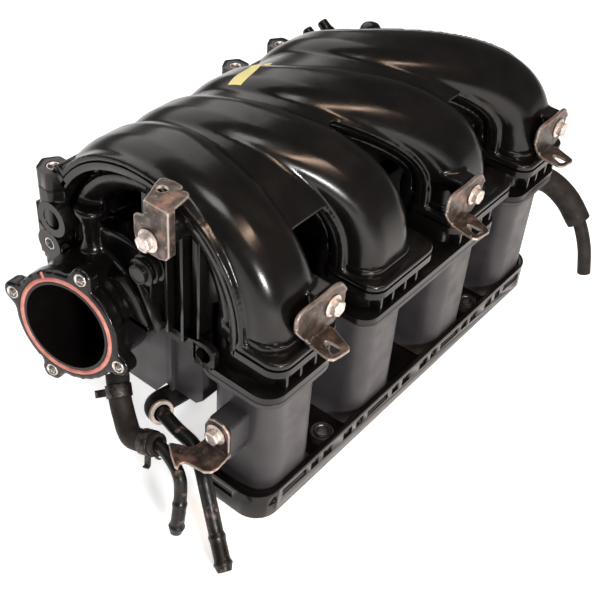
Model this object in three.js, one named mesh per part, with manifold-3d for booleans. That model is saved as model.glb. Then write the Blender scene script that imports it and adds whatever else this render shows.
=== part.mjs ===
// Intake manifold of an inline four, moulded in three welded shells, with its seals, inserts,
// brackets, coolant pipes and hoses. Millimetres, +Z up. The origin is the middle of the row of
// four ports on the head face (z = 0). +X runs along the row away from the throttle, and +Y points
// from the runners' front to the plenum.
import * as THREE from "three";
import { mergeVertices } from "three/addons/utils/BufferGeometryUtils.js";
import Module from "manifold-3d";

const wasm = await Module();
wasm.setup();

// ---------- driving dimensions ----------
const portPitch = 95;
const portX = [-1.5, -0.5, 0.5, 1.5].map((n) => n * portPitch);
const gap = 0.3; // between pieces that touch
const wall = 3.2; // moulded wall

// Runner arch: each runner climbs from its port, turns over an arc and drops into the plenum.
const arch = { y: 78, z: 144, r: 78 };
const runnerLean = [0, -50, -90, -112]; // how far each runner has moved along X at the top
const leanFrom = 170; // degrees round the arch, where the lean starts
const leanTo = 72;
const runnerHalf = { front: 25, top: 23 }; // half width
const crown = { front: 25, top: 10 }; // height outside the weld seam
const belly = 26; // depth inside the weld seam
const sectionCorner = 0.62; // of the half size

// Weld seam between the cover and the middle shell.
const seam = { lipZ: 135, endAngle: 34, rim: 4.6, side: 6.5, left: -172 };
// Weld plane between the middle shell and the two lower mouldings.
const weld = { z: 112, rim: 4.8, front: -33.5 };

// Legs and head flange.
const leg = { halfX: 24.7, halfY: 26, corner: 14 };
const flange = { x0: -178, x1: 174, y0: -30, y1: 34, corner: 18, height: 21.5, floor: 10, rim: 3.6 };
const port = { halfX: 22, halfY: 17, corner: 9 };

// Plenum under the arch.
const plenum = { x0: -163, x1: 146, y0: 28.4, y1: 180, bottom: 56, deepBottom: 42, stepY: 74 };

// Throttle mouth: its face looks along -X, turned a little to the front and up.
const throttle = { face: [-204, 114.6, 104.2], aim: [-1, -0.2, 0.1], bore: 30, seal: 34, neck: 37 };
const throttleBoltRadius = 42.5;
const throttleBoltAngles = [12, 105, 198, 285];

const sides = { small: 8, medium: 10, bore: 20 };

// ---------- solids from three.js geometry ----------
function solid(geometry) {
  const bare = geometry.index ? geometry.toNonIndexed() : geometry.clone();
  bare.deleteAttribute("normal");
  bare.deleteAttribute("uv");
  const merged = mergeVertices(bare, 1e-4);
  return new wasm.Manifold(
    new wasm.Mesh({
      numProp: 3,
      vertProperties: new Float32Array(merged.attributes.position.array),
      triVerts: new Uint32Array(merged.index.array),
    }),
  );
}

function geometryOf(body) {
  const mesh = body.getMesh();
  const geometry = new THREE.BufferGeometry();
  geometry.setAttribute("position", new THREE.BufferAttribute(mesh.vertProperties, 3));
  geometry.setIndex(new THREE.BufferAttribute(mesh.triVerts, 1));
  const flat = geometry.toNonIndexed();
  flat.computeVertexNormals();
  return flat;
}

// The largest body of a cut piece, without the slivers that a cut leaves beside it.
function whole(body) {
  return body.decompose().reduce((most, next) => (next.volume() > most.volume() ? next : most));
}
const join = (...bodies) => bodies.flat().reduce((all, body) => all.add(body));
const cut = (body, ...tools) => tools.flat().reduce((rest, tool) => rest.subtract(tool), body);
const vec = (p) => new THREE.Vector3(...p);

function box(x0, x1, y0, y1, z0, z1) {
  const geometry = new THREE.BoxGeometry(x1 - x0, y1 - y0, z1 - z0);
  geometry.translate((x0 + x1) / 2, (y0 + y1) / 2, (z0 + z1) / 2);
  return solid(geometry);
}

// A straight round bar from a to b, tapered when it has two radii.
function bar(a, b, radius, endRadius = radius, count = sides.medium) {
  const along = vec(b).sub(vec(a));
  const geometry = new THREE.CylinderGeometry(endRadius, radius, along.length(), count);
  geometry.translate(0, along.length() / 2, 0);
  const turn = new THREE.Quaternion().setFromUnitVectors(new THREE.Vector3(0, 1, 0), along.normalize());
  geometry.applyQuaternion(turn);
  geometry.translate(...a);
  return solid(geometry);
}

// A turned piece: profile points are [radius, height], and height runs from a along aim.
function turned(profile, a, aim, count = sides.medium) {
  const points = profile.map(([radius, height]) => new THREE.Vector2(radius, height));
  const geometry = new THREE.LatheGeometry(points, count);
  const turn = new THREE.Quaternion().setFromUnitVectors(new THREE.Vector3(0, 1, 0), vec(aim).normalize());
  geometry.applyQuaternion(turn);
  geometry.translate(...a);
  return solid(geometry);
}

// A tube or ring with a square section, as a turned piece.
function ring(inner, outer, from, to, a, aim, count = sides.medium) {
  return turned([[inner, from], [outer, from], [outer, to], [inner, to], [inner, from]], a, aim, count);
}

function outline(points) {
  return new THREE.Shape(points.map(([u, v]) => new THREE.Vector2(u, v)));
}

function roundedRectangle(u0, u1, v0, v1, corner) {
  const shape = new THREE.Shape();
  shape.absarc(u1 - corner, v0 + corner, corner, -Math.PI / 2, 0);
  shape.absarc(u1 - corner, v1 - corner, corner, 0, Math.PI / 2);
  shape.absarc(u0 + corner, v1 - corner, corner, Math.PI / 2, Math.PI);
  shape.absarc(u0 + corner, v0 + corner, corner, Math.PI, 1.5 * Math.PI);
  return shape;
}

function extruded(shape, depth, curveSegments, steps = 1) {
  return new THREE.ExtrudeGeometry(shape, { depth, steps, curveSegments, bevelEnabled: false });
}

// The shape is drawn in X and Y.
function plateZ(shape, z0, z1, curveSegments = 2) {
  const geometry = extruded(shape, z1 - z0, curveSegments);
  geometry.translate(0, 0, z0);
  return solid(geometry);
}

// The shape is drawn in Y and Z.
function plateX(shape, x0, x1, curveSegments = 3) {
  const geometry = extruded(shape, x1 - x0, curveSegments);
  const basis = new THREE.Matrix4();
  basis.makeBasis(vec([0, 1, 0]), vec([0, 0, 1]), vec([1, 0, 0]));
  geometry.applyMatrix4(basis);
  geometry.translate(x0, 0, 0);
  return solid(geometry);
}

// The shape is drawn in X and Z, and y0 is its front face.
function plateY(shape, y0, y1, curveSegments = 2) {
  const geometry = extruded(shape, y1 - y0, curveSegments);
  const basis = new THREE.Matrix4();
  basis.makeBasis(vec([1, 0, 0]), vec([0, 0, 1]), vec([0, -1, 0]));
  geometry.applyMatrix4(basis);
  geometry.translate(0, y1, 0);
  return solid(geometry);
}

// A round tube along a smooth curve through the points; bore 0 makes it solid.
function tube(points, radius, bore, steps, count = 10) {
  const shape = new THREE.Shape();
  shape.absarc(0, 0, radius, 0, 2 * Math.PI);
  if (bore) {
    const hole = new THREE.Path();
    hole.absarc(0, 0, bore, 0, 2 * Math.PI, true);
    shape.holes.push(hole);
  }
  const path = new THREE.CatmullRomCurve3(points.map(vec), false, "centripetal");
  return solid(
    new THREE.ExtrudeGeometry(shape, { extrudePath: path, steps, curveSegments: count / 2, bevelEnabled: false }),
  );
}

// ---------- runner sections ----------
const smooth = (t) => {
  const s = Math.min(1, Math.max(0, t));
  return s * s * (3 - 2 * s);
};
const mix = (a, b, t) => a + (b - a) * t;

function leanAt(runner, angle) {
  return runnerLean[runner] * smooth((leanFrom - angle) / (leanFrom - leanTo));
}

// One cross-section of a runner: its centre on the seam, the way out to the crown, the way along
// the runner, and its half sizes. Angles over 180 are the straight rise, below 0 the straight drop.
function sectionAt(runner, angle) {
  const arcAngle = Math.min(180, Math.max(0, angle));
  const t = THREE.MathUtils.degToRad(arcAngle);
  const straight = (Math.abs(angle - arcAngle) * Math.PI * arch.r) / 180;
  const x = portX[runner] + leanAt(runner, arcAngle);
  const centre = new THREE.Vector3(x, arch.y + arch.r * Math.cos(t), arch.z + arch.r * Math.sin(t) - straight);
  const out = new THREE.Vector3(0, Math.cos(t), Math.sin(t));
  const step = 0.5;
  const slope = (leanAt(runner, arcAngle - step) - leanAt(runner, arcAngle + step)) / (2 * step);
  const perDegree = (Math.PI * arch.r) / 180;
  const along = new THREE.Vector3(slope, Math.sin(t) * perDegree, -Math.cos(t) * perDegree).normalize();
  const rise = smooth((178 - arcAngle) / 80);
  return {
    centre,
    out,
    side: out.clone().cross(along),
    half: mix(runnerHalf.front, runnerHalf.top, rise),
    crown: mix(crown.front, crown.top, rise),
    round: 0.15 + 0.7 * rise,
  };
}

function angles(from, to, steps) {
  return Array.from({ length: steps + 1 }, (_, n) => mix(from, to, n / steps));
}

// Carries a shape drawn in unit coordinates along a list of stations: place(station, u, v) gives the
// point where the shape's u, v lands at that station.
function carried(shape, stations, place, curveSegments = 2) {
  const geometry = extruded(shape, 1, curveSegments, stations.length - 1);
  const position = geometry.getAttribute("position");
  for (let n = 0; n < position.count; n++) {
    const station = stations[Math.round(position.getZ(n) * (stations.length - 1))];
    const p = place(station, position.getX(n), position.getY(n));
    position.setXYZ(n, p.x, p.y, p.z);
  }
  return solid(geometry);
}

const unitSection = roundedRectangle(-1, 1, -1, 1, sectionCorner);
const unitSquare = outline([[0, 0], [1, 0], [1, 1], [0, 1]]);

function runnerTube(runner, from, to, steps, inset, curveSegments) {
  const stations = angles(from, to, steps).map((angle) => sectionAt(runner, angle));
  return carried(unitSection, stations, (s, u, v) => {
    const height = v > 0 ? s.crown - inset : belly - inset;
    const turn = Math.atan2(v, u);
    const across = mix(u, Math.cos(turn), v > 0 ? s.round : 0) * (s.half - inset);
    const up = mix(v, Math.sin(turn), v > 0 ? s.round : 0) * height;
    return s.centre.clone().addScaledVector(s.side, across).addScaledVector(s.out, up);
  }, curveSegments);
}

// A curved strip round the arch between two radii and two X limits that may vary with the angle.
function archStrip(from, to, steps, r0, r1, leftAt, rightAt) {
  const stations = angles(from, to, steps);
  return carried(unitSquare, stations, (angle, u, v) => {
    const t = THREE.MathUtils.degToRad(angle);
    const r = mix(r0, r1, v);
    const x = mix(rightAt(angle), leftAt(angle), u);
    return new THREE.Vector3(x, arch.y + r * Math.cos(t), arch.z + r * Math.sin(t));
  });
}

// Where a runner's side wall stands on the seam, measured along X.
function wallAt(runner, angle, sideSign) {
  const s = sectionAt(runner, angle);
  return s.centre.x + (sideSign * s.half) / Math.abs(s.side.x);
}

const rimLeft = () => seam.left;
const rimRight = (angle) => wallAt(3, angle, 1) + seam.side;

// Everything on the crown side of the weld seam, moved off it by a small amount.
function crownSide(offset) {
  const shape = new THREE.Shape();
  const r = arch.r + offset;
  const end = THREE.MathUtils.degToRad(seam.endAngle);
  const farR = 220;
  shape.moveTo(-80, seam.lipZ + offset);
  shape.lineTo(arch.y - r - 3, seam.lipZ + offset);
  shape.lineTo(arch.y - r, arch.z);
  shape.absarc(arch.y, arch.z, r, Math.PI, end, true);
  shape.lineTo(arch.y + farR * Math.cos(end), arch.z + offset + farR * Math.sin(end));
  shape.lineTo(arch.y + farR, 330);
  shape.lineTo(-80, 330);
  return plateX(shape, -260, 260, 12);
}

// ---------- the three shells ----------
const material = (color, roughness, metalness) => ({ color, roughness, metalness });
const nylon = material(0x1b1919, 0.38, 0);
const nylonGrey = material(0x2a2829, 0.5, 0);
const silicone = material(0xd9786a, 0.6, 0);
const brass = material(0xb09a72, 0.35, 1);
const steel = material(0xb9b4ab, 0.35, 1);
const stamped = material(0x6f6058, 0.5, 0.8);
const zinc = material(0xd8d5cd, 0.25, 1);
const painted = material(0x1c1a19, 0.35, 0.4);
const rubber = material(0x38322f, 0.85, 0);

const group = new THREE.Group();
function add(name, body, look) {
  const mesh = new THREE.Mesh(geometryOf(body), new THREE.MeshStandardMaterial(look));
  mesh.name = name;
  group.add(mesh);
}

const archSteps = 12;
const outerTubes = portX.map((_, n) => runnerTube(n, 202, -22, archSteps + 4, 0, 2));
const bellyTubes = portX.map((_, n) => runnerTube(n, 202, -22, archSteps + 3, 0, 1));
const innerTubes = portX.map((_, n) => runnerTube(n, 204, -24, archSteps + 4, wall, 1));

// Lips where the cover meets the collars, each as wide as its bracket seat needs.
const lipRight = [31, 42, 50, 31];
const lipLeft = 29.5;
const lipShape = (n, grow) =>
  roundedRectangle(portX[n] - lipLeft - grow, portX[n] + lipRight[n] + grow, weld.front, 14, 12);

// The webs between runners stop at openings near the front.
const webEnd = [148, 118, 140];
function webOpening(n) {
  const left = (angle) => wallAt(n, angle, 1) + 3.5;
  const right = (angle) => wallAt(n + 1, angle, -1) - 3.5;
  return archStrip(196, webEnd[n], 7, arch.r - 16, arch.r + 12, left, right);
}
const webOpenings = [0, 1, 2].map(webOpening);

// Brackets stand on round bosses at the runners' fronts.
const bracketX = [-121.5, 35.5, 156];
const bracketSeat = { y: -28.3, z: 157 };
const bracketBoss = { radius: 9, depth: 22 };
const bossBores = bracketX.map((x) =>
  bar([x, bracketSeat.y - 1, bracketSeat.z], [x, bracketSeat.y + 15, bracketSeat.z], 5, 5, sides.small),
);

function runnerCover() {
  const region = crownSide(gap / 2);
  const rim = archStrip(186, seam.endAngle - 1, 15, arch.r - 1, arch.r + seam.rim, rimLeft, rimRight);
  const lips = portX.map((_, n) => plateZ(lipShape(n, 0), seam.lipZ, seam.lipZ + 5.5));
  const rearLip = archStrip(
    seam.endAngle + 4, seam.endAngle - 1, 1, arch.r - 1, arch.r + 9, rimLeft, () => rimRight(seam.endAngle),
  );
  const seats = bracketX.map((x) =>
    join(
      bar([x, bracketSeat.y, bracketSeat.z], [x, bracketSeat.y + bracketBoss.depth, bracketSeat.z], 9),
      box(x - 14, x + 3.5, bracketSeat.y, 2, 160, 170),
    ),
  );
  const outside = cut(join(rim, ...outerTubes, ...lips, rearLip), webOpenings);
  return cut(join(outside, ...seats).intersect(region), innerTubes, bossBores);
}
add("runner_cover", whole(runnerCover()), nylon);

// ---------- throttle frame ----------
const throttleTurn = new THREE.Quaternion();
{
  const axis = vec(throttle.aim).normalize();
  const across = new THREE.Vector3(0, 1, 0).addScaledVector(axis, -axis.y).normalize();
  const up = across.clone().cross(axis);
  throttleTurn.setFromRotationMatrix(new THREE.Matrix4().makeBasis(across, up, axis.clone().negate()));
}
// A point in the throttle's own frame: across (to +Y), up, and depth behind its face.
function throttlePoint(across, up, depth) {
  return vec([across, up, depth]).applyQuaternion(throttleTurn).add(vec(throttle.face)).toArray();
}
const throttleAim = throttlePoint(0, 0, 1).map((v, n) => v - throttle.face[n]);
function throttleBolt(degrees) {
  const t = THREE.MathUtils.degToRad(degrees);
  return [throttleBoltRadius * Math.cos(t), throttleBoltRadius * Math.sin(t)];
}
const throttleRing = (inner, outer, from, to) =>
  ring(inner, outer, from, to, throttlePoint(0, 0, 0), throttleAim, sides.bore);

function throttleMouth() {
  const lugs = throttleBoltAngles.map((degrees) => {
    const [a, b] = throttleBolt(degrees);
    const head = bar(throttlePoint(a, b, 0), throttlePoint(a, b, 12), 8.2, 8.2, sides.small);
    const root = bar(throttlePoint(a * 0.8, b * 0.8, 0), throttlePoint(a * 0.8, b * 0.8, 12), 11, 11, sides.small);
    return head.add(root);
  });
  const disc = bar(throttlePoint(0, 0, 0), throttlePoint(0, 0, 11), 39.8, 39.8, sides.bore);
  const neck = bar(throttlePoint(0, 0, 5), throttlePoint(0, 0, 50), throttle.neck, throttle.neck + 3, sides.bore);
  return join(disc, neck, ...lugs);
}
const throttleBore = bar(throttlePoint(0, 0, -2), throttlePoint(0, 0, 60), throttle.bore, 30, sides.bore);
const sealGroove = throttleRing(throttle.seal - 1.9, throttle.seal + 1.9, -1, 2.4);
const sealKeyAngle = THREE.MathUtils.degToRad(62);
function sealKeyPoint(radius, depth) {
  return throttlePoint(radius * Math.cos(sealKeyAngle), radius * Math.sin(sealKeyAngle), depth);
}
const sealKeySlot = bar(sealKeyPoint(throttle.seal, 0), sealKeyPoint(throttle.seal + 6.5, 0), 2.2, 2.2, 4);
const insertHoles = throttleBoltAngles.map((degrees) => {
  const [a, b] = throttleBolt(degrees);
  return bar(throttlePoint(a, b, -1), throttlePoint(a, b, 11), 5.3, 5.3, sides.small);
});

// ---------- middle shell ----------
const domeProfile = (inset) => {
  const shape = new THREE.Shape();
  const low = weld.z - 12 * (inset > 0);
  shape.moveTo(42 + inset, low);
  shape.lineTo(182 - inset, low);
  shape.lineTo(182 - inset, 122 - inset);
  shape.lineTo(150, 140 - inset);
  shape.absarc(104, 112, 48 - inset, 0.5, Math.PI - 0.15);
  shape.lineTo(42 + inset, 118);
  return shape;
};
// Tops of the weld rims seen from above: one per group of legs, and the plenum's own.
const rimPlans = [
  roundedRectangle(-178, -113, weld.front, 27.8, 14),
  roundedRectangle(-83, 79, weld.front, 27.8, 12),
  roundedRectangle(104, 172, weld.front, 27.8, 14),
];
const plenumPlan = (inset) =>
  roundedRectangle(
    plenum.x0 - 5 + inset, plenum.x1 + 5 - inset, plenum.y0 + inset, plenum.y1 + 5 - inset, 14 - inset,
  );
const rearBosses = [
  [-167, 157, 189],
  [37, 187, 169.5],
  [89, 186, 169.5],
];
const earHole = { y: 152, z: 155 };
const earInsert = { y: 157, z: 133 };
const cornerBoss = { x: -189.7, y: 48, z: 202.5 };
const pipeBoss = { x: -184, y: 1, z: 74.5 };
const neckNipple = { from: [-180, 96, 82], to: [-192, 81.7, 67.7] };

function throttleEndDetails() {
  const floor = arch.z - 32;
  const wallShape = new THREE.Shape();
  wallShape.moveTo(28.4, floor);
  wallShape.lineTo(28.4, arch.z);
  wallShape.absarc(arch.y, arch.z, 75, 2.85, 1.5, true);
  wallShape.lineTo(84, floor);
  const endWall = plateX(wallShape, -163, -159.6, 5);
  const ribs = [32, 44, 57, 70].map((y) => {
    const top = arch.z + Math.sqrt(74 ** 2 - (y - arch.y) ** 2);
    return box(-171, -160, y - 1.1, y + 1.1, weld.z + 2, top);
  });
  const bracketPost = bar([cornerBoss.x, cornerBoss.y, cornerBoss.z], [-158, cornerBoss.y, cornerBoss.z], 9);
  const ringed = [0, 6, 12].map((back) => bar([-180 + back, 70, 159], [-177 + back, 70, 159], 9.5));
  const ringedCore = bar([-179, 70, 159], [-160, 70, 159], 7.5);
  const ear = join(
    bar([-177, earHole.y, earHole.z], [-162, earHole.y, earHole.z], 14.5),
    bar([-177, earInsert.y, earInsert.z], [-162, earInsert.y, earInsert.z], 10.5),
    box(-177, -162, 144, 167, 133, 155),
  );
  const post = bar([-165, 128, 136], [-165, 128, 172], 9, 6.5);
  const gusset = plateX(outline([[66, 112], [100, 112], [100, 140], [84, 146]]), -178, -174.5);
  const gussetFoot = box(-178, -160, 66, 100, 111.5, 116);
  return [endWall, ...ribs, bracketPost, ...ringed, ringedCore, ear, post, gusset, gussetFoot];
}

function middleShell() {
  const region = crownSide(-gap / 2);
  const rim = archStrip(190, seam.endAngle - 4, 15, arch.r - seam.rim, arch.r + 1, rimLeft, rimRight);
  const collars = portX.map((_, n) => plateZ(lipShape(n, 0), seam.lipZ - 5, seam.lipZ + 1));
  const necks = portX.map((x) => plateZ(roundedRectangle(x - 26, x + 26, -27, 26, 15), weld.z + 1, seam.lipZ));
  const weldRims = rimPlans.map((plan) => plateZ(plan, weld.z + gap, weld.z + weld.rim));
  const plenumRim = plateZ(plenumPlan(0), weld.z + gap, weld.z + weld.rim);
  const tie = box(-160, 140, 22, 34, weld.z + gap, weld.z + weld.rim);
  const dome = plateX(domeProfile(0), plenum.x0, plenum.x1, 4);
  const rearLip = archStrip(
    seam.endAngle, seam.endAngle - 4, 1, arch.r - 1, arch.r + 9, rimLeft, () => rimRight(seam.endAngle),
  );
  const gussets = portX.flatMap((x) =>
    [-16, 4, 20].map((dx) => box(x + dx - 1.2, x + dx + 1.2, -31, -20, weld.z + 2, seam.lipZ - 1)),
  );
  const eyelet = cut(
    plateX(roundedRectangle(11, 28.2, weld.z + 1, 132, 6), -178, -174),
    bar([-180, 20, 123], [-170, 20, 123], 5.2),
  );
  const eyeletArm = box(-178, -163, 24, 28.2, weld.z + gap, 128);
  const bosses = rearBosses.map(([x, y, z], n) =>
    join(
      bar([x, y, z - 40], [x, y, z], 11.5, 11.5, 6),
      box(x - 4, x + 4, Math.min(y, 150), y, z - 38, z - 12 - 3 * n),
    ),
  );
  const nipples = [
    [122, 172, 165],
    [142, 172, 165],
  ].map(([x, y, z]) => join(bar([x, 150, z - 22], [x, y + 14, z + 6], 6, 5), bar([x, y, z - 3], [x, y + 4, z], 7)));
  const capPost = bar([147, 140, 134], [147, 140, 184], 10, 8.5);
  const nipple = bar(neckNipple.from, neckNipple.to, 4.6, 4.2, sides.small);
  const shell = join(
    [rim, ...bellyTubes, ...collars, ...necks, ...weldRims, plenumRim, tie, dome, rearLip, ...gussets],
    [eyelet, eyeletArm, ...throttleEndDetails(), throttleMouth(), ...bosses, ...nipples, capPost],
  );
  const pocketTools = webOpenings.map((tool) => tool);
  const rib = archStrip(168, 112, 4, arch.r - 15, arch.r - 3, (a) => mix(wallAt(1, a, 1), wallAt(2, a, -1), 0.42),
    (a) => mix(wallAt(1, a, 1), wallAt(2, a, -1), 0.5));
  // closes the deep pocket between the third and fourth runners
  const deepWeb = archStrip(
    174, 108, 8, arch.r - 24, arch.r - 20, (a) => wallAt(2, a, 1) - 3, (a) => wallAt(3, a, -1) + 3,
  );
  const insertBores = [
    ...rearBosses.map(([x, y, z]) => bar([x, y, z - 12], [x, y, z + 2], 5, 5, sides.small)),
    bar([-179, earInsert.y, earInsert.z], [-166, earInsert.y, earInsert.z], 5, 5, sides.small),
    bar([-179, earHole.y, earHole.z], [-169, earHole.y, earHole.z], 7.6),
    bar([cornerBoss.x - 1, cornerBoss.y, cornerBoss.z], [-168, cornerBoss.y, cornerBoss.z], 5, 5, sides.small),
  ];
  const hollow = [
    ...innerTubes,
    ...portX.map((x) =>
      plateZ(roundedRectangle(x - 22, x + 22, -23, 22.5, 12), weld.z - 1, weld.z + 12),
    ),
    plateX(domeProfile(wall), plenum.x0 + wall, plenum.x1 - wall, 4),
    throttleBore,
    sealGroove,
    sealKeySlot,
    ...insertHoles,
    ...insertBores,
    bar([-178, 98.4, 84.4], [-194, 79.3, 65.3], 2.4, 2.4, sides.small),
  ];
  const trimmed = cut(cut(shell, pocketTools).add(rib).add(deepWeb), region).add(nipple);
  const above = box(-260, 260, -80, 260, weld.z + gap, 330);
  const below = box(-260, 260, -80, 260, -20, weld.z + gap);
  const mouth = throttleMouth().intersect(below).intersect(box(-260, plenum.x0 - 5.4, 0, 260, 0, 330));
  return cut(join(trimmed.intersect(above), mouth, nipple.intersect(below)), hollow);
}
add("middle_shell", whole(middleShell()), nylon);

// ---------- leg shell: four legs, the head flange and the front weld rims ----------
function flangePocket(x, z, halfX, halfZ) {
  return box(x - halfX, x + halfX, flange.y0 - 1, flange.y0 + 7, z - halfZ, z + halfZ);
}
const limiterSpots = [
  [-95, -16],
  [95, -16],
  [-95, 21],
  [0, 21],
  [95, 21],
];

function legShell() {
  const plan = (inset) =>
    roundedRectangle(
      flange.x0 + inset, flange.x1 - inset, flange.y0 + inset, flange.y1 - inset, flange.corner - inset,
    );
  const base = plateZ(plan(0), 0, flange.height);
  const tray = plateZ(plan(flange.rim), flange.floor, flange.height + 1);
  const legs = portX.map((x) =>
    plateZ(roundedRectangle(x - leg.halfX, x + leg.halfX, -leg.halfY, leg.halfY, leg.corner), flange.floor - 1, weld.z),
  );
  const feet = portX.map((x) =>
    plateZ(roundedRectangle(x - 27, x + 27, -28, 28, 15), flange.floor - 1, flange.floor + 4),
  );
  const rims = rimPlans.map((rimPlan) => plateZ(rimPlan, weld.z - weld.rim, weld.z));
  const bossBlock = box(pipeBoss.x, -160, -9, 9, 60, 84);
  const ventNipple = bar([158, 8.7, 98.8], [180, -18, 94.6], 2.7, 2.4, sides.small);
  const limiterPosts = limiterSpots.map(([x, y]) => bar([x, y, 2], [x, y, 15], 9));
  const pockets = portX.flatMap((x) => [
    flangePocket(x, 14, 12.5, 3.2),
    flangePocket(x - 22, 14, 4, 3.6),
    flangePocket(x + 22, 14, 4.2, 3.6),
  ]);
  const sidePocket = box(flange.x0 - 1, flange.x0 + 7, -4, 22, 10.5, 17);
  const ducts = portX.map((x) =>
    plateZ(roundedRectangle(x - leg.halfX + wall, x + leg.halfX - wall, -22.5, 22.5, 11), 30, weld.z + 1),
  );
  const ports = portX.map((x) =>
    plateZ(roundedRectangle(x - port.halfX, x + port.halfX, -port.halfY, port.halfY, port.corner), -1, 31),
  );
  const sealGrooves = portX.map((x) =>
    cut(
      plateZ(roundedRectangle(x - port.halfX - 6, x + port.halfX + 6, -port.halfY - 6, port.halfY + 6, 13), -1, 2.6),
      plateZ(roundedRectangle(x - port.halfX - 2.4, x + port.halfX + 2.4, -port.halfY - 2.4, port.halfY + 2.4, 10), -2, 3),
    ),
  );
  const limiterBores = limiterSpots.map(([x, y]) => bar([x, y, -1], [x, y, 16], 6.6));
  const outside = join(cut(base, tray), ...legs, ...feet, ...rims, bossBlock, ventNipple, ...limiterPosts);
  const pipeBossBore = bar([-185, pipeBoss.y, pipeBoss.z], [-172, pipeBoss.y, pipeBoss.z], 5, 5, sides.small);
  const ventBore = bar([157, 9.9, 99], [184, -22.8, 93.8], 1.6, 1.6, sides.small);
  return cut(outside, [...pockets, sidePocket, ...ducts, ...ports, ...sealGrooves, ...limiterBores, pipeBossBore, ventBore]);
}
add("leg_shell", legShell(), nylonGrey);

// ---------- plenum tray ----------
function plenumTray() {
  const profile = (inset, top) =>
    outline([
      [34 + inset, top],
      [34 + inset, plenum.bottom + 6 + inset],
      [40 + inset, plenum.bottom + inset],
      [plenum.stepY - 7 + inset, plenum.bottom + inset],
      [plenum.stepY + 3 + inset, plenum.deepBottom + inset],
      [plenum.y1 - 12 - inset, plenum.deepBottom + inset],
      [plenum.y1 - inset, plenum.deepBottom + 12 + inset],
      [plenum.y1 - inset, top],
    ]);
  const body = plateX(profile(0, weld.z), plenum.x0, plenum.x1);
  const room = plateX(profile(wall, weld.z + 1), plenum.x0 + wall, plenum.x1 - wall);
  const rim = plateZ(plenumPlan(0), weld.z - weld.rim, weld.z);
  const ribs = [60, 118].map((y) => box(plenum.x0 - 3, plenum.x0 + 1, y - 1.2, y + 1.2, plenum.bottom, weld.z - 2));
  const elbow = join(
    bar([-104, 60, 40], [-104, 60, 58], 8),
    bar([-104, 60, 45], [-124, 60, 45], 4.7, 4.7, sides.small),
    bar([-104, 60, 45], [-111, 60, 45], 7),
  );
  const elbowBore = join(bar([-104, 60, 44], [-104, 60, 64], 3, 3, 8), bar([-103, 60, 45], [-126, 60, 45], 3, 3, 8));
  const neckRoom = bar(throttlePoint(0, 0, 0), throttlePoint(0, 0, 60), throttle.neck + 3.6, throttle.neck + 3.6, sides.bore);
  const outside = cut(join(body, rim, ...ribs), neckRoom.intersect(box(-260, plenum.x0 - 4.9, 0, 260, 0, 330)));
  return cut(join(outside, elbow), room, elbowBore, throttleBore);
}
add("plenum_tray", plenumTray(), nylonGrey);

// ---------- seals, inserts and limiters ----------
portX.forEach((x, n) => {
  const grown = (by, corner) =>
    roundedRectangle(x - port.halfX - by, x + port.halfX + by, -port.halfY - by, port.halfY + by, corner);
  add(`port_seal_${n + 1}`, cut(plateZ(grown(5.6, 12.6), gap, 2.2), plateZ(grown(2.8, 10.4), 0, 3)), silicone);
});

add(
  "throttle_seal",
  throttleRing(throttle.seal - 1.6, throttle.seal + 1.6, -1, 2).add(
    bar(sealKeyPoint(throttle.seal, 0.1), sealKeyPoint(throttle.seal + 5.5, 0.1), 1.2, 1.2, 4),
  ),
  silicone,
);

// A knurled insert: a sleeve with its bore, sunk a little in its boss.
const insertRadius = 4.7;
const threadRadius = 2.95;
function insert(face, aim, depth) {
  return ring(threadRadius, insertRadius, 0.3, depth, face, aim, sides.small);
}
throttleBoltAngles.forEach((degrees, n) => {
  const [a, b] = throttleBolt(degrees);
  add(`throttle_insert_${n + 1}`, insert(throttlePoint(a, b, -0.3), throttleAim, 10), brass);
});
rearBosses.forEach(([x, y, z], n) => add(`rear_boss_insert_${n + 1}`, insert([x, y, z], [0, 0, -1], 11), brass));
add("sensor_insert", insert([-177, earInsert.y, earInsert.z], [1, 0, 0], 10), brass);
bracketX.forEach((x, n) =>
  add(`bracket_insert_${n + 1}`, insert([x, bracketSeat.y, bracketSeat.z], [0, 1, 0], 14), brass),
);
add("corner_insert", insert([cornerBoss.x, cornerBoss.y, cornerBoss.z], [1, 0, 0], 14), brass);
add("pipe_bracket_insert", insert([pipeBoss.x, pipeBoss.y, pipeBoss.z], [1, 0, 0], 11), brass);
limiterSpots.forEach(([x, y], n) =>
  add(`flange_limiter_${n + 1}`, ring(4.4, 6.2, gap, 15.6, [x, y, 0], [0, 0, 1]), steel),
);

// ---------- brackets and their bolts ----------
// A flanged hexagon bolt whose flange lands on seat; aim points into the part.
function bolt(seat, aim, length) {
  const along = vec(aim).normalize();
  const at = (depth) => vec(seat).addScaledVector(along, depth).toArray();
  const shank = bar(at(-1), at(length), 2.6, 2.6, sides.small);
  const collar = bar(at(-1.8), at(-gap), 7, 7.4);
  const head = bar(at(-6), at(-1.5), 5.4, 5.4, 6);
  return join(shank, collar, head);
}
const sheet = 2;
const bracketHole = 3.6;

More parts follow.
